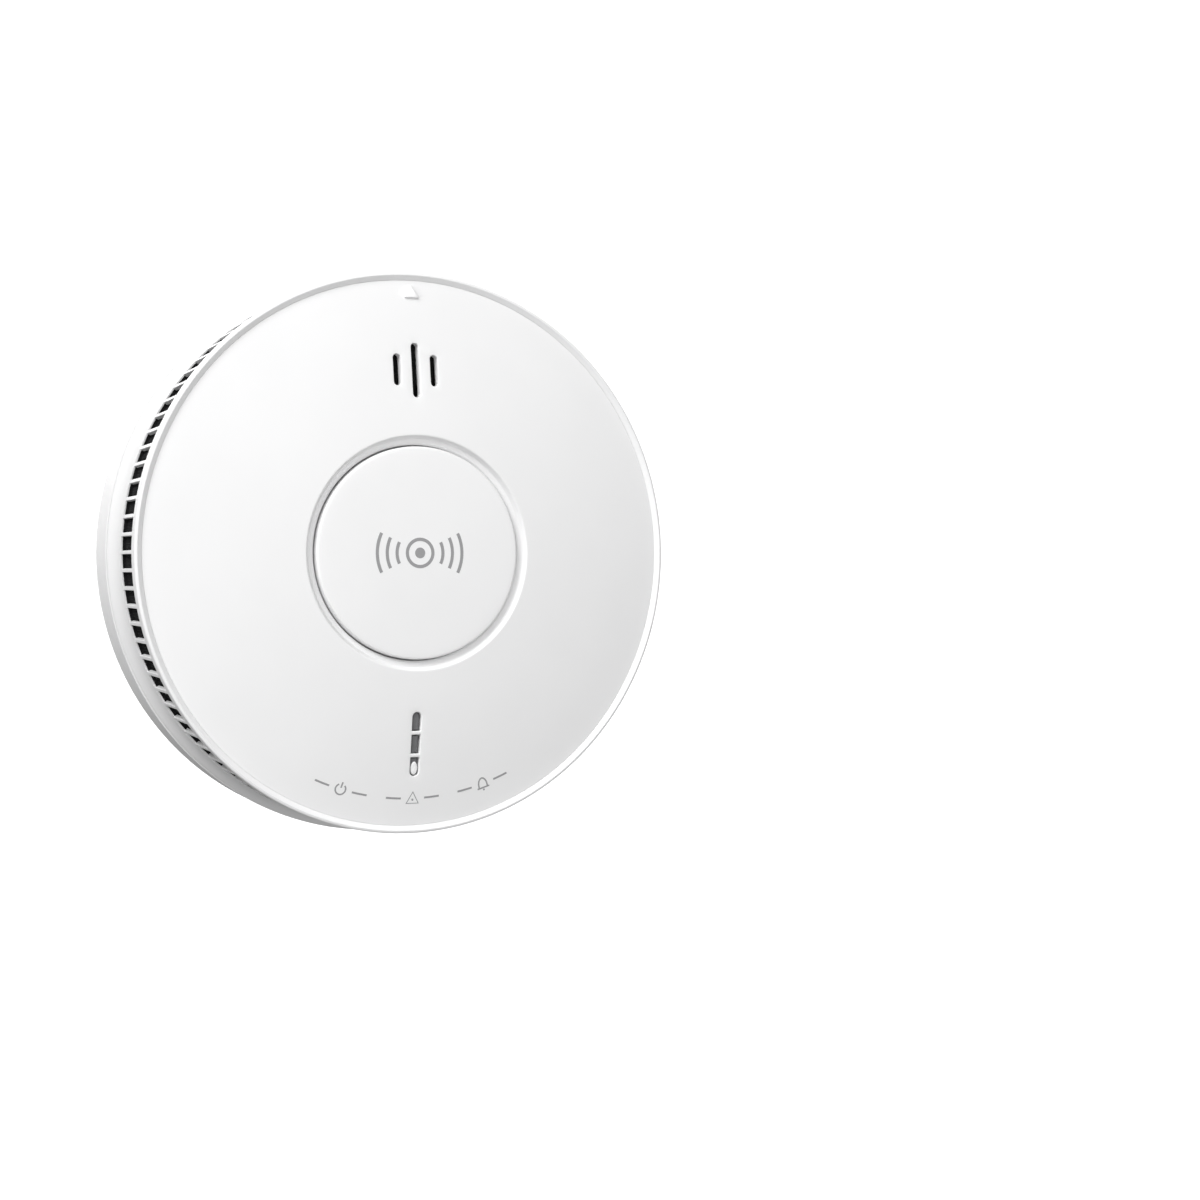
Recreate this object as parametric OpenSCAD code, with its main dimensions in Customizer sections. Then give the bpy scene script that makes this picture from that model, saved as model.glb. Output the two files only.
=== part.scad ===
// Round smoke detector on a twist-on mounting bracket, in millimetres.
// The wall is the plane y = 0, the domed face looks along -Y and +Z is up.
// The origin is the centre of the bracket's back face.
// Each sub-part is drawn lying on the wall, with x to the right, y up and z out of the wall,
// and stand() turns it upright.

/* [Body] */
// Radius of the rim at the upper edge of the vents
rim_r = 60.2; // [59.8:0.1:60.6]
// Radius of the body at the lower edge of the vents
waist_r = 59.6; // [59.2:0.1:59.8]
// Radius of the flared band below the vents
band_r = 61.1; // [60.8:0.1:61.6]
// Radius of the domed face
face_r = 58.5; // [58.3:0.1:58.8]
// Distance from the wall to the edge of the face
face_z = 31; // [30.9:0.1:31.4]
// Radius of the sphere that the face is cut from
dome_r = 270; // [255:5:290]
// Thickness of the face and the housing walls
skin = 2; // [1.8:0.1:2.2]

/* [Vents] */
// Number of ribs round the vent ring
rib_count = 100; // [80:4:112]
// Width of one rib at its outer edge
rib_w = 0.77; // [0.6:0.01:1]
// Distance from the wall to the lower edge of the vents
vent_low = 18; // [17.8:0.1:18.4]
// Distance from the wall to the upper edge of the vents
vent_high = 29.1; // [28.6:0.1:29.2]

/* [Mounting bracket] */
// Height of the bracket's outer wall
bracket_h = 11.6; // [11.2:0.1:11.7]
// Outer radius of the bracket against the wall
bracket_low_r = 60.6; // [60.4:0.1:61]
// Outer radius of the bracket at its open edge
bracket_high_r = 61.3; // [61:0.1:61.6]
// Thickness of the back plate
plate_t = 2; // [1.8:0.1:2.2]
// Radius of the cable opening
cable_r = 22; // [18:1:22]
// Distance between the screw holes of a pair
screw_spacing = 60; // [58:1:62]
// Width of a screw slot and diameter of a screw hole
screw_hole_d = 4.2; // [3.8:0.1:4.6]
// End to end length of a screw slot
screw_slot_l = 12; // [9:1:12]
// Number of bayonet hooks
hook_count = 4; // [3, 4]
// Angle that the head turns to come off, in degrees
twist_angle = 15; // [14:1:18]

/* [Test button] */
// Radius of the button
button_r = 22.7; // [22.4:0.1:22.8]
// Distance from the wall to the top of the button
button_top = 37; // [36.8:0.1:37.2]
// Travel of the button
button_travel = 1; // [0.6:0.1:1]
// Radius of the opening that the button moves in
button_hole_r = 23; // [23:0.1:23.2]
// Radius of the edge where the face starts to slope down to the button
moat_r = 25; // [24.8:0.1:25.4]

/* [Face openings] */
// Height of the sound slots above the centre
sound_y = 39; // [38:0.5:40]
// Width of a sound slot
sound_w = 1.7; // [1.4:0.1:2]
// Distance between sound slots
sound_pitch = 4.2; // [3.8:0.1:4.6]
// Length of the middle sound slot
sound_long = 11.7; // [10:0.1:12.5]
// Length of the outer sound slots
sound_short = 6.8; // [6:0.1:8]
// Distance of the indicator windows below the centre
lamp_y = 40.85; // [40:0.05:41.2]
// Width of an indicator window
lamp_w = 2; // [1.6:0.1:2.2]
// Length of one indicator window
lamp_l = 4.05; // [3.6:0.05:4.2]
// Width of the bridge between two windows
lamp_bridge = 0.82; // [0.7:0.02:1]

/* [Module bay] */
// Width of the bay for the plug-in module
bay_w = 53.5; // [52.5:0.5:54]
// Height of the bay
bay_h = 31.4; // [30.8:0.1:32]
// Depth of the bay
bay_d = 8.8; // [8.4:0.1:9]
// Cut across one corner of the bay
bay_corner = 6.3; // [5:0.1:7]

/* [Inside] */
// Distance from the wall to the back of the circuit board
board_z = 14; // [14:0.1:14.2]
// Thickness of the circuit board
board_t = 1.6; // [1.2:0.2:1.6]
// Radius of the circuit board
board_r = 53.4; // [52.8:0.1:53.6]
// Radius of the smoke chamber
chamber_r = 18.6; // [17.6:0.2:18.6]
// Outer radius of the horn
horn_r = 16.2; // [15.8:0.1:16.4]
// Radius of the battery
cell_r = 8.5; // [8.2:0.1:8.5]
// Length of the battery
cell_l = 45; // [40:1:45]

/* [Hidden] */
$fn = 96;

e = 0.01;                                   // overlap that makes a cut or a union clean
gap = 0.05;                                 // clearance between pieces that are fixed together
edge = 0.3;                                 // small edge break

// Bracket
bracket_in_r = 59;                          // inside of the outer wall
hook_in_r = 57.1;                           // hooks reach in this far
stop_in_r = 57.4;
hook_z = 7.4;                               // underside of a hook
hook_top = 9.2;
hook_half = 7;                              // half the angle of a hook
hook_first = 15;                            // angle of the first hook
lug_half = 6;                               // half the angle of a bayonet lug
lug_r = 58.3;
lug_low = 5;
lug_high = 7;
stop_gap = 0.6;                             // angle between a lug and its stop
stop_a = 2.4;                               // angle of a stop
finger_r = 41;                              // where the two spring fingers start
finger_l = 12;
finger_w = 6;
rib_a = 152;                                // direction of the stiffening ribs

// Rear housing
back_z = 3.4;                               // outside of the floor
floor_z = back_z + 1.8;                     // inside of the floor
cup_r = 56.4;                               // the part that sits in the bracket
flange_z = bracket_h + 0.5;                 // seam between bracket and band
flange_t = 1.8;
band_in_r = 57.4;
lip_t = 0.4;                                // thin lip that hides the screen's foot
ledge_z = 16.5;                             // where the screen's foot stands
flare_h = vent_low - flange_z - edge;
flare_in = band_r - waist_r;
flare_r = (flare_in * flare_in + flare_h * flare_h) / (2 * flare_in);
screw_r = 50;                               // circle of the four housing screws
post_r = 3.6;
screw_seat = 9;                             // where the screw heads bear
bay_x = -9;
bay_y = -4;
bay_top = back_z + bay_d;
bay_wall = 1.5;
module_tab_w = 15;
label_w = 42;
label_h = 22;
label_y = 34;
label_t = 0.15;

// Board, and what stands on it
board_top = board_z + board_t;
cell_x = 38.5;
cell_z = floor_z + 0.4 + cell_r;
chamber_y = -6;
chamber_z = board_top + 0.3;
chamber_top = 27.6;
vane_top = 25.3;
vane_count = 12;
emitter_a = 195;                            // directions of the emitter and the sensor
sensor_a = 330;
emitter_r = 1.5;
sensor_r = 2;
optic_h = 4;                                // height of their axes above the chamber's floor
horn_y = 37;
horn_top = 27;
horn_wall = 1.5;
disc_z = 21.2;                              // underside of the brass disc
disc_t = 0.3;
disc_r = 13.5;
ceramic_r = 10;
ceramic_t = 0.25;
socket_x = bay_x - bay_w / 2 + 11;
socket_y = bay_y - bay_h / 2 + 6.5;
socket_pitch = 2.54;
socket_h = 8.5;
switch_y = 17;
switch_top = board_top + 3.5;
plunger_r = 1.7;
plunger_top = switch_top + 1.5;
power_x = 12;
power_y = -37;
power_travel = 2;
knob_w = 2.4;
knob_h = 1.5;

// Front cover
dome_c = face_z - sqrt(dome_r * dome_r - face_r * face_r);
rim_drop = 1.1;                             // thickness of the face at its edge
rib_d = 1;                                  // depth of the vent ribs
screen_t = 0.4;
crest_r = 0.4;                              // rounding on top of the rim
seat_r = 56.4;
well_top = 31.6;                            // floor of the button well
well_t = 1.4;
collar_t = 1.6;
moat_z = 35.5;
neck_r = 8.2;
neck_w = 1;
gauze_z = 30.8;                             // dark gauze close behind the sound slots
spring_r = 14.5;                            // circle of the three springs
spring_a = 0;                               // angle of the first spring
spring_seat = 28.6;
cup_in_r = 2.9;
cup_wall = 0.7;
button_under = 34.8;                        // underside of the button's plate
button_crown = 0.8;                         // rise of the button from its edge
leg_r = 18.4;                               // circle of the three snap legs
leg_a = 60;                                 // angle of the first leg
leg_w = 4;
leg_t = 1.2;
lamp_pitch = lamp_l + lamp_bridge;
guide_z = 28.6;                             // flange that joins the three light guides
guide_t = 1.2;

// Spring wire
coil_r = 2.3;
wire_r = 0.25;
coil_turns = 5;
ring_per_turn = 16;
wire_sides = 8;

function dome_z(r, drop = 0) = dome_c + sqrt((dome_r - drop) * (dome_r - drop) - r * r);
function dome_line(r0, r1, drop = 0, n = 12) =
    [for (i = [0 : n]) let (r = r0 + (r1 - r0) * i / n) [r, dome_z(r, drop)]];
function arc(cx, cy, r, a0, a1, n = 8) =
    [for (i = [0 : n]) let (a = a0 + (a1 - a0) * i / n) [cx + r * cos(a), cy + r * sin(a)]];

module stand() rotate([90, 0, 0]) children();

module ring(r0, r1, z0, z1) {
    translate([0, 0, z0]) difference() {
        cylinder(r = r1, h = z1 - z0);
        translate([0, 0, -1]) cylinder(r = r0, h = z1 - z0 + 2);
    }
}

// Block centred on [x, y]
module block(x, y, w, h, z0, z1) translate([x - w / 2, y - h / 2, z0]) cube([w, h, z1 - z0]);

// Round post on [x, y]
module post(x, y, r, z0, z1) translate([x, y, z0]) cylinder(r = r, h = z1 - z0, $fn = 48);

// Slot outline, w wide and l long, standing along y
module stadium(w, l) {
    square([w, l - w], center = true);
    for (s = [-1, 1]) translate([0, s * (l - w) / 2]) circle(d = w, $fn = 32);
}

// A stretch of ring between two angles
module sector(r0, r1, z0, z1, a0, a1) {
    rotate([0, 0, a0]) rotate_extrude(angle = a1 - a0)
        translate([r0, z0]) square([r1 - r0, z1 - z0]);
}

// Places its children at n points of a circle
module around(r, n, first = 0) {
    for (i = [0 : n - 1]) rotate([0, 0, first + i * 360 / n]) translate([r, 0, 0]) children();
}

// Everything between the wall and a dome that lies drop below the face
module under_dome(r, drop) {
    rotate_extrude() polygon(concat([[0, 0], [r, 0]], dome_line(r, 0, drop)));
}

// --- Mounting bracket ---

module bracket_shell() {
    rotate_extrude() polygon([
        [cable_r, 0], [bracket_low_r - 0.5, 0], [bracket_low_r, 0.5],
        [bracket_high_r, bracket_h - edge], [bracket_high_r - edge, bracket_h],
        [bracket_in_r + 0.5 + edge, bracket_h], [bracket_in_r + 0.5, bracket_h - edge],
        [bracket_in_r, hook_top + 0.6], [bracket_in_r, plate_t], [cable_r, plate_t],
    ]);
}

module bracket_hook(a) {
    sector(hook_in_r, bracket_in_r + 0.4, hook_z, hook_top, a - hook_half, a + hook_half);
    sector(stop_in_r, bracket_in_r + 0.3, plate_t - 0.5, hook_z + 0.8,
        a - lug_half - stop_gap - stop_a, a - lug_half - stop_gap);
    sector(stop_in_r, bracket_in_r + 0.3, plate_t - 0.5, hook_z,
        a + twist_angle + lug_half + stop_gap, a + twist_angle + lug_half + stop_gap + stop_a);
}

// Cut that frees a tongue of the plate, fixed at its inner end
module finger_cut() {
    for (s = [-1, 1]) block(finger_r + finger_l / 2, s * (finger_w + 1) / 2, finger_l, 1, -1, plate_t + 1);
    block(finger_r + finger_l, 0, 1, finger_w + 2, -1, plate_t + 1);
}

module mounting_bracket() {
    color("white") stand() {
        difference() {
            bracket_shell();
            for (s = [-1, 1]) translate([s * screw_spacing / 2, 0, -1]) {
                linear_extrude(plate_t + 2) rotate(90) stadium(screw_hole_d, screw_slot_l);
                translate([0, 0, plate_t + 0.2]) linear_extrude(2)
                    rotate(90) stadium(screw_hole_d + 3, screw_slot_l + 3);
            }
            for (s = [-1, 1]) post(0, s * screw_spacing / 2, screw_hole_d / 2, -1, plate_t + 1);
            for (a = [45, 225]) rotate([0, 0, a]) finger_cut();
        }
        for (i = [0 : hook_count - 1]) bracket_hook(hook_first + i * 360 / hook_count);
        around(finger_r + finger_l - 2, 2, 45) cylinder(r = 1.2, h = plate_t + 0.8, $fn = 32);
        around(0, 2, rib_a) for (s = [-1, 1])
            block(bracket_in_r - 11, s * 8, 22, 1.2, plate_t - 0.5, plate_t + 0.8);
    }
}

// --- Rear housing ---

module housing_shell() {
    rotate_extrude() polygon(concat(
        [[0, back_z], [cup_r - 0.6, back_z], [cup_r, back_z + 0.6], [cup_r, flange_z],
            [band_r - edge, flange_z]],
        arc(waist_r + flare_r, vent_low, flare_r, 180 + asin(flare_h / flare_r), 180),
        [[waist_r - lip_t, vent_low], [waist_r - lip_t, ledge_z], [band_in_r, ledge_z],
            [band_in_r, flange_z + flange_t], [cup_r - skin + 0.2, flange_z + flange_t],
            [cup_r - skin + 0.2, floor_z], [0, floor_z]]
    ));
}

module bay_outline(grow = 0) {
    w = bay_w / 2 + grow;
    h = bay_h / 2 + grow;
    c = bay_corner;
    polygon([[-w, -h], [w, -h], [w, h], [c - w, h], [-w, h - c]]);
}

module rear_housing() {
    color("whitesmoke") stand() difference() {
        union() {
            housing_shell();
            for (i = [0 : hook_count - 1]) let (a = hook_first + i * 360 / hook_count)
                sector(cup_r - 0.4, lug_r, lug_low, lug_high, a - lug_half, a + lug_half);
            translate([bay_x, bay_y, back_z]) linear_extrude(bay_d + 1.2) bay_outline(bay_wall);
            around(screw_r, 4, 45) cylinder(r = post_r, h = board_z, $fn = 48);
            for (s = [-1, 1]) block(cell_x, s * 14, 2 * cell_r + 3, 3, floor_z - e, cell_z - 2);
            for (s = [-1, 1]) block(cell_x, s * (cell_l / 2 + 1.2), 6, 1.2, floor_z - e, cell_z - 4);
            block(power_x, power_y, 14, 9, floor_z - e, floor_z + 1);
            post(0, 46, 2.5, floor_z - e, board_z);
            post(-46, 0, 2.5, floor_z - e, board_z);
        }
        around(screw_r, 4, 45) translate([0, 0, -1]) cylinder(r = post_r + 2, h = back_z + 1, $fn = 48);
        around(screw_r, 4, 45) translate([0, 0, -1]) cylinder(r = 3, h = screw_seat + 1, $fn = 48);
        around(screw_r, 4, 45) cylinder(r = 1.7, h = board_z + 1, $fn = 32);
        translate([bay_x, bay_y, -1]) linear_extrude(bay_top + 1) bay_outline();
        for (s = [-1, 1]) block(bay_x, bay_y + s * bay_h / 2, module_tab_w, 5, -1, back_z + 1);
        block(socket_x, socket_y, 14, 6.4, bay_top - 1, board_z);
        block(power_x, power_y, 7, 4, -1, floor_z + 2);
        block(0, label_y, label_w + 1, label_h + 1, -1, back_z + 0.3);
        translate([cell_x, 0, cell_z]) rotate([90, 0, 0])
            cylinder(r = cell_r + 0.1, h = cell_l + 0.4, center = true);
    }
}

module rating_label() {
    color("silver") stand() block(0, label_y, label_w, label_h, back_z + 0.3 - label_t, back_z + 0.3);
}

// --- Vents ---

module vent_ring() {
    window_a = 360 / rib_count;
    window_w = 2 * (rim_r - 0.5) * sin(window_a / 2) - rib_w;
    color("white") stand() difference() {
        rotate_extrude() polygon(concat(
            [[waist_r - rib_d, vent_low + gap], [waist_r, vent_low + gap], [rim_r, vent_high + 0.4]],
            arc(rim_r - crest_r, face_z + 0.25, crest_r, 0, 118, 6),
            [[face_r + gap, face_z], [face_r + gap, face_z - rim_drop], [seat_r, face_z - rim_drop],
                [seat_r, vent_high + 0.1], [rim_r - rib_d, vent_high + 0.1]]
        ));
        for (i = [0 : rib_count - 1]) rotate([0, 0, (i + 0.5) * window_a])
            translate([seat_r - 2, -window_w / 2, vent_low]) cube([8, window_w, vent_high - vent_low]);
    }
}

// Tapered black wall close behind the ribs, on a foot that drops into the housing's ledge
module insect_screen() {
    low_r = waist_r - rib_d - gap;
    high_r = rim_r - rib_d - gap;
    color("black") stand() rotate_extrude() polygon([
        [band_in_r + gap, ledge_z + gap], [waist_r - lip_t - gap, ledge_z + gap],
        [waist_r - lip_t - gap, vent_low], [low_r, vent_low], [high_r, vent_high],
        [high_r - screen_t, vent_high], [band_in_r + gap, vent_low],
    ]);
}

// --- Front cover ---

module face_shell() {
    collar_r = button_hole_r + collar_t;
    rotate_extrude() polygon(concat(
        [[0, well_top - well_t], [collar_r, well_top - well_t]],
        dome_line(collar_r, face_r - 3, skin),
        [[face_r - 1.8, face_z - rim_drop + gap], [face_r, face_z - rim_drop + gap]],
        dome_line(face_r, moat_r),
        [[button_hole_r + edge, moat_z], [button_hole_r, moat_z - edge], [button_hole_r, well_top],
            [0, well_top]]
    ));
}

// Small raised triangle that points at the rim
module locating_mark() {
    intersection() {
        linear_extrude(40) polygon([[-1.7, 54.7], [1.7, 54.7], [0, 57.4]]);
        under_dome(60, -0.3);
        translate([0, 0, face_z - 1]) cylinder(r = 60, h = 10);
    }
}

// The three windows in one round-ended strip, each drawn smaller by inset
module lamp_windows(inset = 0) {
    intersection() {
        stadium(lamp_w - 2 * inset, 3 * lamp_l + 2 * lamp_bridge - 2 * inset);
        for (i = [-1 : 1]) translate([0, i * lamp_pitch]) square([lamp_w, lamp_l - 2 * inset], center = true);
    }
}

module sound_slots() {
    for (i = [-1 : 1]) translate([i * sound_pitch, 0]) stadium(sound_w, i == 0 ? sound_long : sound_short);
}

module front_cover() {
    boss_r = 3.2;
    color("white") stand() difference() {
        union() {
            face_shell();
            locating_mark();
            intersection() {
                union() {
                    translate([0, 0, board_top + gap]) around(screw_r, 4, 45)
                        cylinder(r = boss_r, h = 20, $fn = 48);
                    post(0, sound_y, neck_r, horn_top + 0.2, 40);
                }
                under_dome(58, skin / 2);
            }
            around(spring_r, 3, spring_a) translate([0, 0, spring_seat - cup_wall])
                cylinder(r = cup_in_r + cup_wall, h = well_top - spring_seat, $fn = 48);
        }
        translate([0, sound_y, 20]) linear_extrude(20) sound_slots();
        translate([0, -lamp_y, 20]) linear_extrude(20) lamp_windows();
        intersection() {
            post(0, sound_y, neck_r - neck_w, 20, 40);
            under_dome(58, skin);
        }
        around(screw_r, 4, 45) cylinder(r = 1.5, h = 24, $fn = 32);
        around(spring_r, 3, spring_a) translate([0, 0, spring_seat]) cylinder(r = cup_in_r, h = 5, $fn = 48);
        around(leg_r, 3, leg_a) block(-0.3, 0, leg_t + 1.2, leg_w + 0.8, 25, 33);
        post(0, switch_y, 2.5, 25, 33);
    }
}

// --- Test button ---

function button_z(r) = button_top - button_crown * r * r / (button_r * button_r);

module test_button() {
    rod_r = 2;
    barb = 0.7;
    barb_z = well_top - well_t - 0.3;
    skirt_z = well_top + button_travel + 0.6;
    color("white") stand() {
        rotate_extrude() polygon(concat(
            [[0, button_under], [button_r - 1.6, button_under], [button_r - 1.6, skirt_z],
                [button_r, skirt_z]],
            arc(button_r - 0.5, button_z(button_r) - 0.6, 0.5, 0, 80, 4),
            [for (i = [8 : -1 : 0]) let (r = i * (button_r - 1.2) / 8) [r, button_z(r)]]
        ));
        around(leg_r, 3, leg_a) {
            block(0, 0, leg_t, leg_w, barb_z - 1, button_under + e);
            block(barb / 2, 0, leg_t + barb, leg_w, barb_z - 1, barb_z);
        }
        around(spring_r, 3, spring_a) translate([0, 0, button_under - 1.8])
            cylinder(r = 1.5, h = 2, $fn = 32);
        post(0, switch_y, rod_r, plunger_top + 0.1, button_under + e);
    }
}

// Wire swept along a helix: rings of wire_sides points, closed by a cap at each end
module coil(length) {
    n = coil_turns * ring_per_turn;
    turn = 360 / ring_per_turn;
    pts = [for (i = [0 : n], j = [0 : wire_sides - 1])
        let (a = i * turn, b = j * 360 / wire_sides, r = coil_r + wire_r * cos(b))
        [r * cos(a), r * sin(a), wire_r + (length - 2 * wire_r) * i / n + wire_r * sin(b)]];
    skin_faces = [for (i = [0 : n - 1], j = [0 : wire_sides - 1])
        let (p = i * wire_sides, k = (j + 1) % wire_sides)
        [p + j, p + k, p + wire_sides + k, p + wire_sides + j]];
    caps = [[for (j = [wire_sides - 1 : -1 : 0]) j],
        [for (j = [0 : wire_sides - 1]) n * wire_sides + j]];
    polyhedron(pts, concat(skin_faces, caps), convexity = 8);
}

module button_springs() {
    color("silver") stand() around(spring_r, 3, spring_a)
        translate([0, 0, spring_seat + gap]) coil(button_under - spring_seat - 2 * gap);
}

// --- Indicators ---

module light_guide() {
    color("dimgray") stand() {
        intersection() {
            translate([0, -lamp_y, board_top + 1.6]) linear_extrude(20) lamp_windows(0.1);
            under_dome(58, 0.5);
        }
        block(0, -lamp_y, lamp_w + 2.4, 3 * lamp_pitch + 1.6, guide_z, guide_z + guide_t);
    }
}

module light_shroud() {
    color("black") stand() difference() {
        block(0, -lamp_y, lamp_w + 3.6, 3 * lamp_pitch + 2.4, board_top, guide_z - gap);
        for (i = [-1 : 1]) block(0, -lamp_y + i * lamp_pitch, lamp_w + 0.8, lamp_l + 0.2, board_top - 1, 40);
    }
}

module indicator_lens() {
    color("white") stand() intersection() {
        translate([0, -lamp_y - lamp_pitch - 0.45, 25]) linear_extrude(15) stadium(1.3, 2.6);
        difference() {
            under_dome(58, 0.12);
            under_dome(59, 0.48);
        }
    }
}

module status_lamp(tone, i) {
    color(tone) stand() translate([0, -lamp_y + i * lamp_pitch, board_top]) {
        block(0, 0, 1.6, 2.4, 0, 0.7);
        cylinder(r = 0.6, h = 1.2, $fn = 32);
    }
}

// --- Circuit board and its parts ---

module circuit_board() {
    color("darkgreen") stand() difference() {
        translate([0, 0, board_z]) cylinder(r = board_r, h = board_t);
        translate([cell_x - cell_r - 1.2, -cell_l / 2 - 2.8, 0]) cube([40, cell_l + 5.6, 30]);
        around(screw_r, 4, 45) cylinder(r = 1.7, h = 30, $fn = 32);
        for (s = [-1, 1]) post(s * 25, 8, 1.2, 10, 20);
    }
}

module chip_legs(w, h, n, z) {
    for (s = [-1, 1], i = [0 : n - 1])
        block(s * (w / 2 + 0.4), (i - (n - 1) / 2) * h / n, 0.9, 0.4, 0, z);
}

module microcontroller() {
    color("black") stand() translate([-36, 0, board_top]) {
        block(0, 0, 7, 10, 0.1, 1.8);
        chip_legs(7, 10, 10, 0.5);
    }
}

module capacitors() {
    color("midnightblue") stand() for (p = [[-30, 22, 3.1, 8], [-41, 20, 2.5, 7], [26, 30, 2.5, 7]])
        translate([p[0], p[1], board_top]) {
            cylinder(r = p[2], h = p[3] - 0.5, $fn = 48);
            cylinder(r = p[2] - 0.4, h = p[3], $fn = 48);
        }
}

module horn_coil() {
    color("saddlebrown") stand() translate([-36, -20, board_top]) {
        cylinder(r = 4.4, h = 1.2, $fn = 48);
        cylinder(r = 3, h = 6.8, $fn = 48);
        translate([0, 0, 5.8]) cylinder(r = 4.4, h = 1, $fn = 48);
    }
}

// --- Smoke chamber ---

module vane() {
    rotate([0, 0, 38]) translate([-3, -0.5, 0]) cube([6, 1, vane_top - chamber_z]);
}

// Block with a bore that holds a lamp or a sensor pointing at the middle of the chamber
module optic_block(r) {
    difference() {
        block(11.5, 0, 6.5, 2 * r + 3.2, 0, 7.4);
        translate([5, 0, optic_h]) rotate([0, 90, 0]) cylinder(r = r + gap, h = 12, $fn = 32);
    }
}

module chamber_base() {
    color("black") stand() translate([0, chamber_y, chamber_z]) {
        cylinder(r = chamber_r, h = 1.2);
        for (i = [0 : vane_count - 1]) let (a = 15 + i * 360 / vane_count)
            if (min(abs(a - emitter_a), abs(a - sensor_a)) > 20)
                rotate([0, 0, a]) translate([chamber_r - 3.2, 0, 0]) vane();
        rotate([0, 0, emitter_a]) optic_block(emitter_r);
        rotate([0, 0, sensor_a]) optic_block(sensor_r);
    }
}

module chamber_cover() {
    color("black") stand() translate([0, chamber_y, 0]) {
        translate([0, 0, vane_top + 1.1]) cylinder(r = chamber_r, h = chamber_top - vane_top - 1.1);
        ring(chamber_r - 1, chamber_r, vane_top + 0.1, vane_top + 1.2);
        translate([0, 0, vane_top - 1.4]) cylinder(r = 4, h = 3, $fn = 48);
    }
}

// Round-nosed lamp or sensor lying in its block, with two legs bent down to the board
module optic_part(r) {
    rotate([0, 90, 0]) cylinder(r = r, h = 4.5, $fn = 32);
    intersection() {
        sphere(r = r, $fn = 32);
        translate([-r, 0, 0]) cube(2 * r, center = true);
    }
    for (s = [-1, 1]) {
        translate([4.4, s * 0.8, 0]) rotate([0, 90, 0]) cylinder(r = 0.25, h = 1.8, $fn = 16);
        translate([6.2, s * 0.8, -2.7]) cylinder(r = 0.25, h = 2.95, $fn = 16);
    }
}

module infrared_emitter() {
    color("lightblue") stand() translate([0, chamber_y, chamber_z + optic_h]) rotate([0, 0, emitter_a])
        translate([9.6, 0, 0]) optic_part(emitter_r);
}

module photodiode() {
    color("black") stand() translate([0, chamber_y, chamber_z + optic_h]) rotate([0, 0, sensor_a])
        translate([9.6, 0, 0]) optic_part(sensor_r);
}

// --- Horn ---

module horn_housing() {
    color("dimgray") stand() translate([0, horn_y, 0]) difference() {
        translate([0, 0, board_top]) cylinder(r = horn_r, h = horn_top - board_top);
        translate([0, 0, board_top - 1])
            cylinder(r = horn_r - horn_wall, h = disc_z + disc_t + 1 - board_top);
        cylinder(r = disc_r - 1, h = horn_top - 1.4);
        post(0, sound_y - horn_y, neck_r - neck_w - 0.4, 10, 40);
    }
}

module horn_gauze() {
    color("black") stand() translate([0, sound_y, gauze_z]) cylinder(r = neck_r - neck_w - 0.02, h = 0.4);
}

module piezo_disc() {
    color("goldenrod") stand() translate([0, horn_y, disc_z]) cylinder(r = disc_r, h = disc_t);
}

module piezo_ceramic() {
    color("lightgray") stand() translate([0, horn_y, disc_z - ceramic_t])
        cylinder(r = ceramic_r, h = ceramic_t);
}

// Two sprung pins that touch the ceramic and the brass
module horn_contacts() {
    color("silver") stand() for (p = [[4, disc_z - ceramic_t], [11.8, disc_z]])
        translate([p[0], horn_y, board_top]) {
            cylinder(r = 0.9, h = 1.6, $fn = 32);
            cylinder(r = 0.45, h = p[1] - board_top, $fn = 32);
        }
}

// --- Battery ---

module battery_cell() {
    color("steelblue") stand() translate([cell_x, 0, cell_z]) rotate([90, 0, 0])
        translate([0, 0, -cell_l / 2]) rotate_extrude() polygon([
            [0, 0], [cell_r - 0.8, 0], [cell_r, 0.8], [cell_r, cell_l - 2], [cell_r - 0.8, cell_l - 1.2],
            [3.2, cell_l - 1.2], [3, cell_l], [0, cell_l],
        ]);
}

// Thin strips welded to the ends of the battery and soldered to the board
module battery_tabs() {
    color("silver") stand() for (s = [-1, 1]) {
        block(cell_x, s * (cell_l / 2 + 0.1), 3.6, 0.2, cell_z - 2.4, board_top + 0.2);
        block(cell_x, s * (cell_l / 2 + 3.2), 3.6, 6.4, board_top, board_top + 0.2);
    }
}

// --- Test switch ---

module test_switch_body() {
    color("black") stand() difference() {
        block(0, switch_y, 6, 6, board_top, switch_top);
        post(0, switch_y, plunger_r + 0.06, board_top + 0.6, switch_top + 1);
    }
}

module test_switch_plunger() {
    color("ivory") stand() post(0, switch_y, plunger_r, board_top + 1.8, plunger_top);
}

// --- Module socket and power switch ---

module socket_grid() {
    for (i = [-2 : 2], j = [-0.5, 0.5]) translate([i * socket_pitch, j * socket_pitch, 0]) children();
}

module module_socket() {
    color("black") stand() translate([socket_x, socket_y, board_z - socket_h]) difference() {
        block(0, 0, 5 * socket_pitch, 2 * socket_pitch, 0, socket_h);
        socket_grid() block(0, 0, 1, 1, -1, 6.5);
    }
}

// Pairs of leaves that grip the module's pins
module socket_contacts() {
    color("gold") stand() translate([socket_x, socket_y, board_z - socket_h]) socket_grid()
        for (s = [-1, 1]) block(s * 0.42, 0, 0.1, 0.7, 0.6, 6.4);
}

module power_switch_body() {
    color("dimgray") stand() difference() {
        block(power_x, power_y, 9, 4.4, 9, board_z);
        block(power_x, power_y, knob_w + power_travel + 0.6, knob_h + 0.4, 8, 11.4);
    }
}

module power_switch_slider() {
    color("white") stand()
        block(power_x - power_travel / 2, power_y, knob_w, knob_h, back_z + 1, 11.2);
}

// --- Fasteners ---

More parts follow.
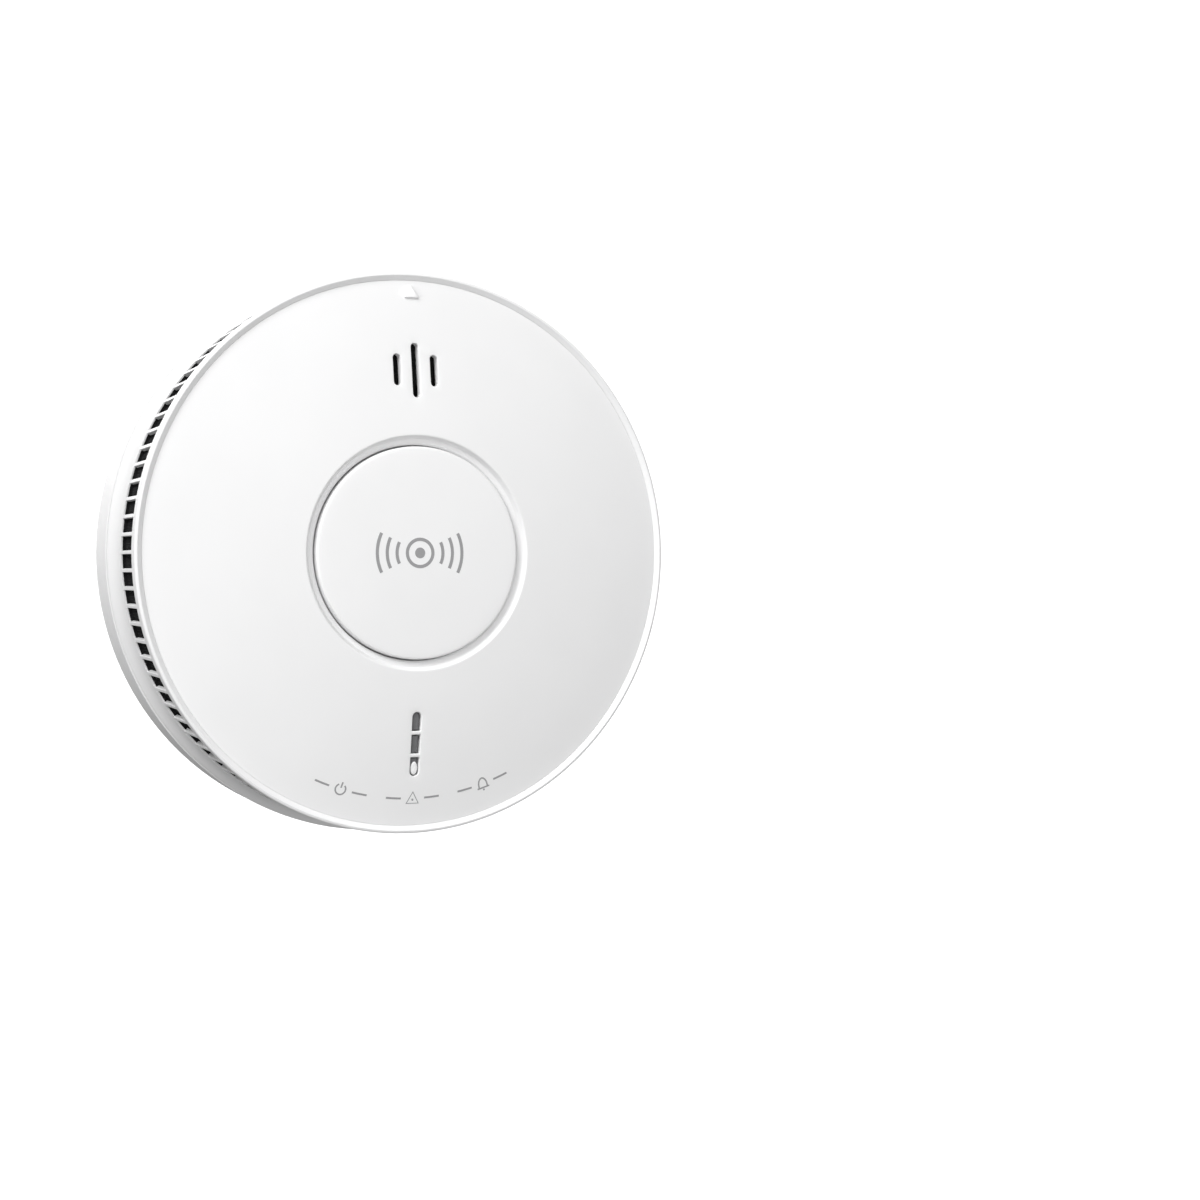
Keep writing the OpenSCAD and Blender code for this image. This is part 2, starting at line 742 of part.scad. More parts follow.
module housing_screws() {
    color("silver") stand() around(screw_r, 4, 45) difference() {
        union() {
            translate([0, 0, screw_seat - 2]) cylinder(r = 2.7, h = 2, $fn = 32);
            translate([0, 0, screw_seat - e]) cylinder(r = 1.45, h = 13, $fn = 32);
            translate([0, 0, screw_seat + 13 - 2 * e]) cylinder(r1 = 1.45, r2 = 0.4, h = 1.4, $fn = 32);
        }
        for (a = [0, 90]) rotate([0, 0, a]) block(0, 0, 3.2, 0.7, 0, screw_seat - 1);
    }
}

mounting_bracket();
rear_housing();
rating_label();
vent_ring();
insect_screen();
front_cover();
test_button();
button_springs();
light_guide();
light_shroud();
indicator_lens();
status_lamp("limegreen", -1);  // status_lamp_green
status_lamp("gold", 0);  // status_lamp_yellow
status_lamp("red", 1);  // status_lamp_red
circuit_board();
chamber_base();
chamber_cover();
infrared_emitter();
photodiode();
horn_housing();
horn_gauze();
piezo_disc();
piezo_ceramic();
horn_contacts();
battery_cell();
battery_tabs();
microcontroller();
capacitors();
horn_coil();
test_switch_body();
test_switch_plunger();
module_socket();
socket_contacts();
power_switch_body();
power_switch_slider();
housing_screws();
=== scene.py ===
import math

import bmesh
import bpy
from mathutils import Matrix, Vector
from mathutils.geometry import delaunay_2d_cdt


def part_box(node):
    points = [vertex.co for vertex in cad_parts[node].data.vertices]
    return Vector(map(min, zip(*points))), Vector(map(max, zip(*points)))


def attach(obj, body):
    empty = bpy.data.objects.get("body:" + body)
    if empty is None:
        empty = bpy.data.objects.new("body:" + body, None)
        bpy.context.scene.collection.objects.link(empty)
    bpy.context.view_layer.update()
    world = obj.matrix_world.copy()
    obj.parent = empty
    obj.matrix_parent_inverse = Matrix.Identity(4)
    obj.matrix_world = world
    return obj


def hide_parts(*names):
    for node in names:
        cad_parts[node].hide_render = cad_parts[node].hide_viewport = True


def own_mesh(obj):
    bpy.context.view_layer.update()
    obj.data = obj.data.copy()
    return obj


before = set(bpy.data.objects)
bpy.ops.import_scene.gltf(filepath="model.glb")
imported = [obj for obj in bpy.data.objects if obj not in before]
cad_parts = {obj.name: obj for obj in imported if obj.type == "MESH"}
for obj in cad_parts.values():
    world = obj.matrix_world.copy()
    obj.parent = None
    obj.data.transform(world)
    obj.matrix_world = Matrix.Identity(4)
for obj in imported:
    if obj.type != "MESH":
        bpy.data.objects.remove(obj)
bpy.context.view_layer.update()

MM = 0.001
TURN = 192                                   # steps round a full circle


# --- Places and sizes, in millimetres ---

def span(node):
    """Lowest and highest corner of a CAD node in the detector's own axes."""
    lo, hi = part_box(node)
    return Vector((lo.x, lo.z, -hi.y)) / MM, Vector((hi.x, hi.z, -lo.y)) / MM


RIM_R = span("vent_ring")[1].x
BAND_R = span("rear_housing")[1].x
FACE_R = span("front_cover")[1].x
DOME_TOP = span("front_cover")[1].z
BUTTON_R = span("test_button")[1].x
BUTTON_TOP = span("test_button")[1].z - 0.03  # the ink on it reaches the CAD height
BRACKET_R = span("mounting_bracket")[1].x
BRACKET_H = span("mounting_bracket")[1].z
BACK_Z = span("rear_housing")[0].z
VENT_LOW = span("rear_housing")[1].z
WAIST_R = 59.6                               # body at the lower edge of the vents
SEAT_R = 56.4                                # inner edge of the shelf that the face rests on
RIB_D = 1.0                                  # depth of the vent ribs

DOME_R = 270.0                               # sphere that the face is a part of
MOAT_R = 25.0                                # where the face turns down to the button
DOME_C = DOME_TOP - math.sqrt(DOME_R ** 2 - MOAT_R ** 2)
SKIN = 2.0                                   # thickness of the face
MOAT_EDGE_R = MOAT_R + 1.4                   # where the open face ends, outside the moat's rounded edge
FACE_EDGE_R = FACE_R - 1.0                   # where the open face ends, inside its outer edge
BUTTON_HOLE_R = BUTTON_R + 0.32              # opening that the button moves in
COLLAR_R = BUTTON_HOLE_R + 2.0               # outside of the wall round the button's well
UNDER_R = COLLAR_R + 0.6                     # where the underside of the face starts
RIB_COUNT = 100
RIB_W = 0.77
VENT_HIGH = 29.1
SOUND = Vector((0.0, 39.0))                  # centre of the sound slots
SOUND_PITCH, SOUND_W, SOUND_LONG, SOUND_SHORT = 4.2, 1.7, 11.7, 6.8
LAMP = Vector((0.0, -40.85))                 # centre of the indicator windows
LAMP_W, LAMP_L, LAMP_BRIDGE = 2.0, 4.05, 0.82
LAMP_PITCH = LAMP_L + LAMP_BRIDGE
SPRING_CIRCLE = 14.5
LEG_CIRCLE = 18.4
SWITCH = Vector((0.0, 17.0))
SCREW_CIRCLE = 50.0
SCREW_TURN = 45                              # degrees from the x axis to the first housing screw
HOOK_TURN = 15                               # degrees from the x axis to the first bayonet hook
LEDGE_Z = 16.5                               # ledge of the housing that the insect screen stands on
LEDGE_R = 57.4                               # inner edge of that ledge
BAY = Vector((-9.0, -4.0))                   # centre of the module bay
BAY_W, BAY_H, BAY_DEPTH, BAY_CUT = 53.5, 31.4, 8.8, 6.3
CELL_X, CELL_Z = 38.5, 14.1                  # axis of the battery
CRADLE_R, CRADLE_L = 8.6, 22.7               # radius and half length of its cradle
SWITCH_BAY = (12, -37)                       # centre of the power switch's opening
SLOT_OFFSET = 30                             # from the centre to a wall screw


def dome_z(r, drop=0.0):
    return DOME_C + math.sqrt((DOME_R - drop) ** 2 - r * r)


FACE_Z = dome_z(FACE_R)


# --- Mesh tools ---

class Shape:
    """Collects closed lumps, each a list of points and faces, into one mesh."""

    def __init__(self):
        self.points, self.faces = [], []

    def add(self, points, faces):
        base = len(self.points)
        self.points += [Vector(p) for p in points]
        self.faces += [[base + i for i in f] for f in faces]
        return self

    def object(self, name):
        mesh = bpy.data.meshes.new(name)
        mesh.from_pydata([(p.x * MM, -p.z * MM, p.y * MM) for p in self.points], [], self.faces)
        bm = bmesh.new()
        bm.from_mesh(mesh)
        bmesh.ops.remove_doubles(bm, verts=bm.verts, dist=0.002 * MM)
        bmesh.ops.recalc_face_normals(bm, faces=bm.faces)
        bm.to_mesh(mesh)
        bm.free()
        made = bpy.data.objects.new(name, mesh)
        bpy.context.scene.collection.objects.link(made)
        return made


def rounded(corners, steps=5):
    """A line of (r, z, radius) corners with each corner rounded to its radius."""
    line = []
    for i, (x, y, radius) in enumerate(corners):
        here = Vector((x, y))
        if radius <= 0 or i in (0, len(corners) - 1):
            line.append(here)
            continue
        a = Vector(corners[i - 1][:2]) - here
        b = Vector(corners[i + 1][:2]) - here
        angle = a.angle(b)
        reach = min(radius / math.tan(angle / 2), a.length * 0.49, b.length * 0.49)
        start, end = here + a.normalized() * reach, here + b.normalized() * reach
        for k in range(steps + 1):
            t = k / steps
            line.append(start * (1 - t) ** 2 + here * 2 * t * (1 - t) + end * t * t)
    return line


def lathe(shape, line, closed=True):
    """Turns a line of (r, z) round the axis. A closed line meets its own start, or the axis at both ends."""
    points, rings = [], []
    for r, z in line:
        if r < 1e-6:
            rings.append([len(points)])
            points.append((0, 0, z))
        else:
            rings.append(list(range(len(points), len(points) + TURN)))
            points += [(r * math.cos(a), r * math.sin(a), z)
                       for a in (2 * math.pi * k / TURN for k in range(TURN))]
    faces = []
    pairs = list(zip(rings, rings[1:]))
    if closed and len(rings[0]) > 1 and len(rings[-1]) > 1:
        pairs.append((rings[-1], rings[0]))
    for a, b in pairs:
        for k in range(TURN):
            n = (k + 1) % TURN
            ring = [a[k % len(a)], a[n % len(a)], b[n % len(b)], b[k % len(b)]]
            faces.append(list(dict.fromkeys(ring)))
    return shape.add(points, [f for f in faces if len(f) > 2])


def outline(centre, w, l, top, bottom, grow=0.0, steps=7):
    """Upright slot outline with its two top and two bottom corners rounded, all of it larger by grow."""
    w, l = w / 2 + grow, l / 2 + grow
    loop = []
    for sx, sy, first in ((1, 1, 0), (-1, 1, 90), (-1, -1, 180), (1, -1, 270)):
        r = (top if sy > 0 else bottom) + grow
        for k in range(steps + 1):
            a = math.radians(first + 90 * k / steps)
            loop.append(Vector((centre[0] + sx * (w - r) + r * math.cos(a),
                                centre[1] + sy * (l - r) + r * math.sin(a))))
    return loop


def circle(centre, r, steps=48):
    return [Vector((centre[0] + r * math.cos(2 * math.pi * k / steps),
                    centre[1] + r * math.sin(2 * math.pi * k / steps))) for k in range(steps)]


def turned(loop, degrees):
    c, s = math.cos(math.radians(degrees)), math.sin(math.radians(degrees))
    return [Vector((p.x * c - p.y * s, p.x * s + p.y * c)) for p in loop]


def inside(p, loop):
    hit = False
    for a, b in zip(loop, loop[1:] + loop[:1]):
        if (a.y > p.y) != (b.y > p.y) and p.x < (b.x - a.x) * (p.y - a.y) / (b.y - a.y) + a.x:
            hit = not hit
    return hit


def near(p, loop, reach):
    return any((p - q).length < reach for q in loop)


def sheet(shape, outer, holes, spots, height):
    """Triangles over the area inside outer and outside holes, with extra points at spots."""
    loops = [outer] + holes
    points = [p for loop in loops for p in loop]
    edges, base = [], 0
    for loop in loops:
        edges += [(base + k, base + (k + 1) % len(loop)) for k in range(len(loop))]
        base += len(loop)
    points += spots
    got, _, tris, *_ = delaunay_2d_cdt(points, edges, [], 0, 1e-7)
    keep = []
    for tri in tris:
        mid = sum((got[i] for i in tri), Vector((0, 0))) / 3
        if inside(mid, outer) and not any(inside(mid, hole) for hole in holes):
            keep.append(list(tri))
    return shape.add([(p.x, p.y, height(p)) for p in got], keep)


def walls(n, rows):
    """Faces that join each of rows + 1 rings of n points to the next ring."""
    return [[i * n + k, i * n + (k + 1) % n, (i + 1) * n + (k + 1) % n, (i + 1) * n + k]
            for i in range(rows) for k in range(n)]


def skirt(shape, loops):
    """Walls between loops of (x, y, z) points that have the same number of points."""
    return shape.add([p for loop in loops for p in loop], walls(len(loops[0]), len(loops) - 1))


def at(loop, height):
    return [(p.x, p.y, height(p) if callable(height) else height) for p in loop]


def prism(shape, loop, low, high, edge=0.0, inset=None):
    """A closed upright block with a loop as its outline. A smaller outline, inset, eases its top edge."""
    n = len(loop)
    loops = [at(loop, low)]
    if inset and edge:
        top = high if callable(high) else (lambda p, z=high: z)
        for k in range(4):
            t = math.radians(90 * k / 3)
            mix = 1 - math.cos(t)
            ring = [p.lerp(q, mix) for p, q in zip(loop, inset)]
            drop = edge * (1 - math.sin(t))
            loops.append([(p.x, p.y, top(p) - drop) for p in ring])
    else:
        loops.append(at(loop, high))
    ends = [list(range(n - 1, -1, -1)), [(len(loops) - 1) * n + k for k in range(n)]]
    return shape.add([p for ring in loops for p in ring], walls(n, len(loops) - 1) + ends)


def wedge(shape, r0, r1, z0, z1, a0, a1, steps=6):
    """A stretch of ring between two angles, as a closed block."""
    loop = []
    for r, first, last in ((r1, a0, a1), (r0, a1, a0)):
        for k in range(steps + 1):
            a = math.radians(first + (last - first) * k / steps)
            loop.append(Vector((r * math.cos(a), r * math.sin(a))))
    return prism(shape, loop, z0, z1)


def fin(shape, profile, w, degrees):
    """A plate w thick with an outline of (r, z), standing along a radius."""
    n, points = len(profile), []
    for y in (-w / 2, w / 2):
        for r, z in profile:
            p = turned([Vector((r, y))], degrees)[0]
            points.append((p.x, p.y, z))
    return shape.add(points, walls(n, 1) + [list(range(n - 1, -1, -1)), list(range(n, 2 * n))])


def baked(obj):
    """Applies the object's modifiers."""
    bpy.context.view_layer.update()
    done = bpy.data.meshes.new_from_object(obj.evaluated_get(bpy.context.evaluated_depsgraph_get()))
    obj.modifiers.clear()
    obj.data = done
    return obj


def carve(obj, cutter, operation="DIFFERENCE"):
    tool = cutter.object("cutter")
    mod = obj.modifiers.new("carve", "BOOLEAN")
    mod.operation, mod.solver, mod.object, mod.use_self = operation, "EXACT", tool, operation == "UNION"
    baked(obj)
    bpy.data.objects.remove(tool)
    return obj


def flat_faces_joined(obj):
    bm = bmesh.new()
    bm.from_mesh(obj.data)
    bmesh.ops.remove_doubles(bm, verts=bm.verts, dist=0.001 * MM)
    bmesh.ops.dissolve_limit(bm, angle_limit=math.radians(0.3), verts=bm.verts, edges=bm.edges)
    bm.to_mesh(obj.data)
    bm.free()
    return obj


def eased(obj, size, segments=2, angle=35):
    """Rounds the sharp edges."""
    mod = obj.modifiers.new("ease", "BEVEL")
    mod.width, mod.segments = size * MM, segments
    mod.limit_method, mod.angle_limit = "ANGLE", math.radians(angle)
    mod.miter_outer = "MITER_ARC"
    return baked(obj)


def smooth(obj, angle=38, weighted=False):
    for p in obj.data.polygons:
        p.use_smooth = True
    obj.data.set_sharp_from_angle(angle=math.radians(angle))
    if weighted:
        obj.modifiers.new("even", "WEIGHTED_NORMAL").keep_sharp = True
        baked(obj)
    return obj


def finished(obj, material, body, slot, *nodes):
    obj.data.materials.clear()
    obj.data.materials.append(material)
    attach(obj, body)
    if nodes:
        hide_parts(*nodes)


# --- Materials ---

class Nodes:
    """A material's node tree, with short calls for the nodes that the finishes share."""

    def __init__(self, name):
        self.material = bpy.data.materials.new(name)
        self.material.use_nodes = True
        self.tree = self.material.node_tree
        self.shader = self.tree.nodes["Principled BSDF"]
        self.place = self.tree.nodes.new("ShaderNodeTexCoord").outputs["Object"]

    def new(self, kind, **values):
        node = self.tree.nodes.new("ShaderNode" + kind)
        for name, value in values.items():
            setattr(node, name, value)
        return node

    def link(self, a, b):
        self.tree.links.new(a, b)

    def noise(self, size_mm, detail=2.0):
        node = self.new("TexNoise")
        node.inputs["Scale"].default_value = 1.0 / (size_mm * MM)
        node.inputs["Detail"].default_value = detail
        self.link(self.place, node.inputs["Vector"])
        return node.outputs["Fac"]

    def spread(self, value, low, high, start=0.3, end=0.7):
        node = self.new("MapRange")
        for name, number in (("From Min", start), ("From Max", end), ("To Min", low), ("To Max", high)):
            node.inputs[name].default_value = number
        self.link(value, node.inputs["Value"])
        return node.outputs["Result"]

    def blend(self, value, a, b):
        node = self.new("Mix", data_type="RGBA")
        self.link(value, node.inputs["Factor"])
        for socket, colour in ((node.inputs[6], a), (node.inputs[7], b)):
            if isinstance(colour, tuple):
                socket.default_value = (*colour, 1.0)
            else:
                self.link(colour, socket)
        return node.outputs[2]

    def edges(self):
        """1 along outer edges and 0 on open faces."""
        geometry = self.new("NewGeometry")
        return self.spread(geometry.outputs["Pointiness"], 0.0, 1.0, 0.505, 0.56)

    def bump(self, value, strength, height_mm):
        node = self.new("Bump")
        node.inputs["Strength"].default_value = strength
        node.inputs["Distance"].default_value = height_mm * MM
        self.link(value, node.inputs["Height"])
        self.link(node.outputs["Normal"], self.shader.inputs["Normal"])
        return node

    def set(self, **values):
        names = {"color": "Base Color", "rough": "Roughness", "metal": "Metallic", "coat": "Coat Weight",
                 "coat_rough": "Coat Roughness", "ior": "IOR", "through": "Transmission Weight",
                 "level": "Specular IOR Level", "glow": "Emission Color",
                 "glow_strength": "Emission Strength"}
        for key, value in values.items():
            socket = self.shader.inputs[names[key]]
            if isinstance(value, bpy.types.NodeSocket):
                self.link(value, socket)
            elif isinstance(value, tuple):
                socket.default_value = (*value, 1.0)
            else:
                socket.default_value = value
        return self


def tinted(colour, factor):
    return tuple(min(1.0, c * factor) for c in colour)


def moulded(name, colour, rough=0.4, grain=0.35, depth=0.01, variation=0.025):
    """Moulded plastic: a fine even grain, faint flow marks, and outer edges painted lighter in patches as a
    painted highlight, where they are also a little smoother from handling.
    """
    # strength of the painted edge highlight and of the edge polish
    edge_highlight_and_polish = 0.5
    n = Nodes(name)
    flow = n.blend(n.noise(18.0, 3.0), tinted(colour, 1 - variation), tinted(colour, 1 + variation))
    # patchy mask along outer edges: there the colour is painted lighter as a painted highlight, and the
    # roughness drops a little
    edge_highlight_and_polish_mask = n.new("Math", operation="MULTIPLY")
    n.link(n.edges(), edge_highlight_and_polish_mask.inputs[0])
    n.link(n.spread(n.noise(2.5, 4.0), 0.2, 1.0), edge_highlight_and_polish_mask.inputs[1])
    # painted highlight: outer edges lighter than the open faces
    with_edge_highlight = n.blend(edge_highlight_and_polish_mask.outputs[0], flow, tinted(colour, 1 + variation * edge_highlight_and_polish))
    finish = n.spread(n.noise(4.0, 4.0), rough - 0.05, rough + 0.05)
    smoother = n.new("Math", operation="MULTIPLY_ADD")
    n.link(edge_highlight_and_polish_mask.outputs[0], smoother.inputs[0])
    smoother.inputs[1].default_value = -0.1 * edge_highlight_and_polish
    n.link(finish, smoother.inputs[2])
    n.bump(n.noise(grain, 3.0), 0.35, depth)
    return n.set(color=with_edge_highlight, rough=smoother.outputs[0], level=0.45).material


def metal(name, colour, rough=0.25, brushed=0.6):
    """Bare metal with fine scratches and slightly dulled patches."""
    variation = 0.08
    n = Nodes(name)
    stretch = n.new("Mapping")
    stretch.inputs["Scale"].default_value = (1.0, 14.0, 1.0)
    n.link(n.place, stretch.inputs["Vector"])
    scratch = n.new("TexNoise")
    scratch.inputs["Scale"].default_value = 1.0 / (0.8 * MM)
    scratch.inputs["Detail"].default_value = 4.0
    n.link(stretch.outputs["Vector"], scratch.inputs["Vector"])
    tone = n.blend(n.noise(3.0, 3.0), tinted(colour, 1 - variation), tinted(colour, 1 + variation))
    n.bump(scratch.outputs["Fac"], 0.2 * brushed, 0.004)
    finish = n.spread(scratch.outputs["Fac"], rough - 0.06, rough + 0.1)
    return n.set(color=tone, metal=1.0, rough=finish).material


def woven(name, colour):
    """Fine gauze: crossed threads with a dull sheen."""
    n = Nodes(name)
    heights = []
    for direction in ("X", "Y", "Z"):
        wave = n.new("TexWave", bands_direction=direction)
        wave.inputs["Scale"].default_value = 1.0 / (2.2 * MM)
        wave.inputs["Distortion"].default_value = 0.4
        n.link(n.place, wave.inputs["Vector"])
        heights.append(wave.outputs["Fac"])
    both = n.new("Math", operation="MAXIMUM")
    n.link(heights[0], both.inputs[0])
    n.link(heights[2], both.inputs[1])
    n.bump(both.outputs[0], 0.6, 0.08)
    tone = n.blend(both.outputs[0], tinted(colour, 0.5), tinted(colour, 1.5))
    return n.set(color=tone, rough=n.spread(n.noise(1.0), 0.5, 0.75), level=0.25).material


def board_finish(name):
    """Green solder mask over faint copper tracks."""
    n = Nodes(name)
    tracks = n.new("TexVoronoi", distance="CHEBYCHEV")
    tracks.inputs["Scale"].default_value = 1.0 / (5.0 * MM)
    n.link(n.place, tracks.inputs["Vector"])
    copper = n.spread(tracks.outputs["Distance"], 0.0, 1.0, 0.28, 0.3)
    tone = n.blend(copper, (0.012, 0.09, 0.035), (0.03, 0.17, 0.06))
    n.bump(copper, 0.4, 0.03)
    finish = n.spread(n.noise(3.0, 3.0), 0.22, 0.38)
    return n.set(color=tone, rough=finish, coat=0.3, coat_rough=0.2).material


def clear_plastic(name, colour, rough=0.08, through=0.6):
    """Tinted light-guide plastic with faint sink marks."""
    n = Nodes(name)
    tone = n.blend(n.noise(1.2, 2.0), tinted(colour, 0.85), tinted(colour, 1.15))
    n.bump(n.noise(1.5), 0.2, 0.02)
    finish = n.spread(n.noise(0.8), rough, rough + 0.08)
    return n.set(color=tone, rough=finish, through=through, ior=1.5).material


def printed(name, colour):
    """Pad-printed ink with a slightly uneven cover."""
    n = Nodes(name)
    tone = n.blend(n.noise(0.25, 3.0), tinted(colour, 0.92), tinted(colour, 1.08))
    n.bump(n.noise(0.15), 0.2, 0.005)
    return n.set(color=tone, rough=n.spread(n.noise(0.5), 0.42, 0.58), level=0.4).material


WHITE = (0.83, 0.83, 0.832)
COVER_WHITE = moulded("cover_white", WHITE, rough=0.36, grain=0.3, depth=0.006)
BODY_WHITE = moulded("body_white", tinted(WHITE, 0.985), rough=0.42, grain=0.4, depth=0.01)
BRACKET_WHITE = moulded("bracket_white", tinted(WHITE, 0.97), rough=0.48, grain=0.5, depth=0.014)
BUTTON_WHITE = moulded("button_white", tinted(WHITE, 1.01), rough=0.38, grain=0.3, depth=0.006)
BLACK = moulded("black_moulded", (0.014, 0.014, 0.015), rough=0.5, grain=0.4, depth=0.02, variation=0.2)
GREY = moulded("grey_moulded", (0.16, 0.16, 0.17), rough=0.5, grain=0.4, depth=0.02, variation=0.08)
IVORY = moulded("ivory_moulded", (0.72, 0.69, 0.6), rough=0.42, variation=0.04)
CERAMIC = moulded("silvered_ceramic", (0.55, 0.53, 0.5), rough=0.5, grain=0.2, variation=0.06)
SLEEVE = moulded("battery_sleeve", (0.05, 0.15, 0.36), rough=0.3, grain=0.8, depth=0.01, variation=0.1)
CAN = moulded("capacitor_sleeve", (0.03, 0.04, 0.09), rough=0.32, variation=0.1)
LABEL = moulded("label_film", (0.5, 0.5, 0.51), rough=0.33, grain=0.6, depth=0.003, variation=0.05)
GAUZE = woven("black_gauze", (0.006, 0.006, 0.0065))
STEEL = metal("spring_steel", (0.6, 0.6, 0.62), rough=0.2)
ZINC = metal("zinc_steel", (0.55, 0.56, 0.58), rough=0.32)
BRASS = metal("rolled_brass", (0.75, 0.56, 0.24), rough=0.28)
NICKEL = metal("nickel_strip", (0.62, 0.6, 0.56), rough=0.27)
GOLD = metal("gold_plate", (0.85, 0.63, 0.24), rough=0.2, brushed=0.3)
COPPER = metal("enamelled_copper", (0.5, 0.2, 0.08), rough=0.35)
BOARD = board_finish("solder_mask")
SMOKED = clear_plastic("smoked_guide", (0.13, 0.13, 0.135), rough=0.14, through=0.0)
LENS = clear_plastic("white_lens", (0.9, 0.9, 0.9), rough=0.2, through=0.0)
BLUE_CLEAR = clear_plastic("emitter_epoxy", (0.45, 0.6, 0.75), through=0.5)
GREEN_LAMP = clear_plastic("green_lamp", (0.1, 0.6, 0.16), through=0.3)
YELLOW_LAMP = clear_plastic("yellow_lamp", (0.8, 0.55, 0.06), through=0.3)
RED_LAMP = clear_plastic("red_lamp", (0.7, 0.05, 0.04), through=0.3)
INK = printed("grey_ink", (0.31, 0.31, 0.315))

CARRIED = {
    "rating_label": LABEL, "light_shroud": BLACK, "circuit_board": BOARD, "chamber_base": BLACK,
    "chamber_cover": BLACK, "infrared_emitter": BLUE_CLEAR, "photodiode": BLACK, "horn_housing": GREY,
    "horn_gauze": GAUZE, "piezo_disc": BRASS, "piezo_ceramic": CERAMIC, "horn_contacts": STEEL,
    "battery_cell": SLEEVE, "battery_tabs": NICKEL, "microcontroller": BLACK, "capacitors": CAN,
    "horn_coil": COPPER, "test_switch_body": BLACK, "test_switch_plunger": IVORY, "module_socket": BLACK,
    "socket_contacts": GOLD, "power_switch_body": GREY, "power_switch_slider": IVORY, "housing_screws": ZINC,
    "status_lamp_green": GREEN_LAMP, "status_lamp_yellow": YELLOW_LAMP, "status_lamp_red": RED_LAMP,
}


# --- Front cover ---

def face_openings(grow=0.0):
    """Outlines of the sound slots and the indicator windows, larger by grow."""
    loops = [outline(SOUND + Vector((SOUND_PITCH * i, 0)), SOUND_W, SOUND_LONG if i == 0 else SOUND_SHORT,
                     SOUND_W / 2, SOUND_W / 2, grow) for i in (-1, 0, 1)]
    square = 0.12                            # corner radius next to a bridge
    for i in (-1, 0, 1):
        ends = (LAMP_W / 2 if i == 1 else square, LAMP_W / 2 if i == -1 else square)
        loops.append(outline(LAMP + Vector((0, i * LAMP_PITCH)), LAMP_W, LAMP_L, *ends, grow))
    return loops


def triangle(grow):
    """Outline of the raised mark near the rim."""
    corner, steps = 0.15, 4
    base, tip, half = 54.7, 57.4, 1.7
    corners = [Vector((half, base)), Vector((0, tip)), Vector((-half, base))]
    loop = []
    for i, here in enumerate(corners):
        a, b = corners[i - 1] - here, corners[(i + 1) % 3] - here
        middle = here + (a.normalized() + b.normalized()).normalized() * (corner / math.sin(a.angle(b) / 2))
        out_a = Vector((a.y, -a.x)).normalized()
        first = math.atan2(-out_a.y, -out_a.x) if out_a.dot(b) > 0 else math.atan2(out_a.y, out_a.x)
        turn = math.pi - a.angle(b)
        for k in range(steps + 1):
            t = first + turn * k / steps
            loop.append(middle + Vector((math.cos(t), math.sin(t))) * (corner + grow))
    return loop


def face_shell(shape):
    ease = 0.22                              # rounding round each opening
    first, last = MOAT_EDGE_R, FACE_EDGE_R
    clear = 0.7                              # no extra point comes closer than this to an opening
    ring = circle((0, 0), 1.0, TURN)
    opened, tight = face_openings(ease), face_openings()
    mark = triangle(0.12)
    holes = opened + [mark]
    rows = 15
    spots = []
    for i in range(1, rows):
        r = first + (last - first) * i / rows
        for p in ring:
            q = p * r
            if not any(inside(q, h) or near(q, h, clear) for h in holes):
                spots.append(q)
    hub = [p * first for p in ring]
    top = lambda p: dome_z(p.length)
    sheet(shape, [p * last for p in ring], holes + [hub], spots, top)
    # the eased edge and the wall of each opening
    for wide, thin in zip(opened, tight):
        loops = []
        for k in range(5):
            t = math.radians(90 * k / 4)
            ring_here = [a.lerp(b, math.sin(t)) for a, b in zip(wide, thin)]
            loops.append([(p.x, p.y, dome_z(p.length) - ease * (1 - math.cos(t))) for p in ring_here])
        loops.append([(p.x, p.y, dome_z(p.length, SKIN)) for p in thin])
        skirt(shape, loops)
    # the raised mark
    loops = [at(mark, top)]
    for grow, rise in ((0.06, 0.05), (0.0, 0.3), (-0.05, 0.4), (-0.16, 0.45)):
        loops.append([(p.x, p.y, dome_z(p.length) + rise) for p in triangle(grow)])
    skirt(shape, loops)
    shape.add(loops[-1], [list(range(len(mark)))])
    # edge of the face, then its underside
    inner_first, inner_last = UNDER_R, FACE_R - 3.0
    edge_line = [Vector((last, dome_z(last)))]
    edge_line += rounded([(FACE_R - 0.4, dome_z(FACE_R - 0.4), 0), (FACE_R, FACE_Z, 0.1),
                          (FACE_R, FACE_Z - 1.05, 0.1), (FACE_R - 1.8, FACE_Z - 1.05, 0.3),
                          (inner_last, dome_z(inner_last, SKIN), 0)])
    lathe(shape, edge_line, closed=False)
    hub = [p * inner_first for p in ring]
    rows, clear = 8, 0.8
    spots = []
    for i in range(1, rows):
        r = inner_first + (inner_last - inner_first) * i / rows
        spots += [p * r for p in ring[::2]
                  if not any(inside(p * r, h) or near(p * r, h, clear) for h in tight)]
    sheet(shape, [p * inner_last for p in ring], tight + [hub], spots, lambda p: dome_z(p.length, SKIN))


WELL_TOP, WELL_LOW = 31.6, 30.2              # floor of the button's well
CUP_TOP, CUP_LOW = 28.6, 27.9                # floor of the spring cups under it


def well_holes():
    holes = [circle(SWITCH, 2.5, 32)]
    holes += [turned(outline((LEG_CIRCLE - 0.3, 0), 2.4, 4.8, 0.2, 0.2, 0.0, 2), 60 + 120 * i)
              for i in range(3)]
    holes += [turned(circle((SPRING_CIRCLE, 0), 2.9, 32), 120 * i) for i in range(3)]
    return holes


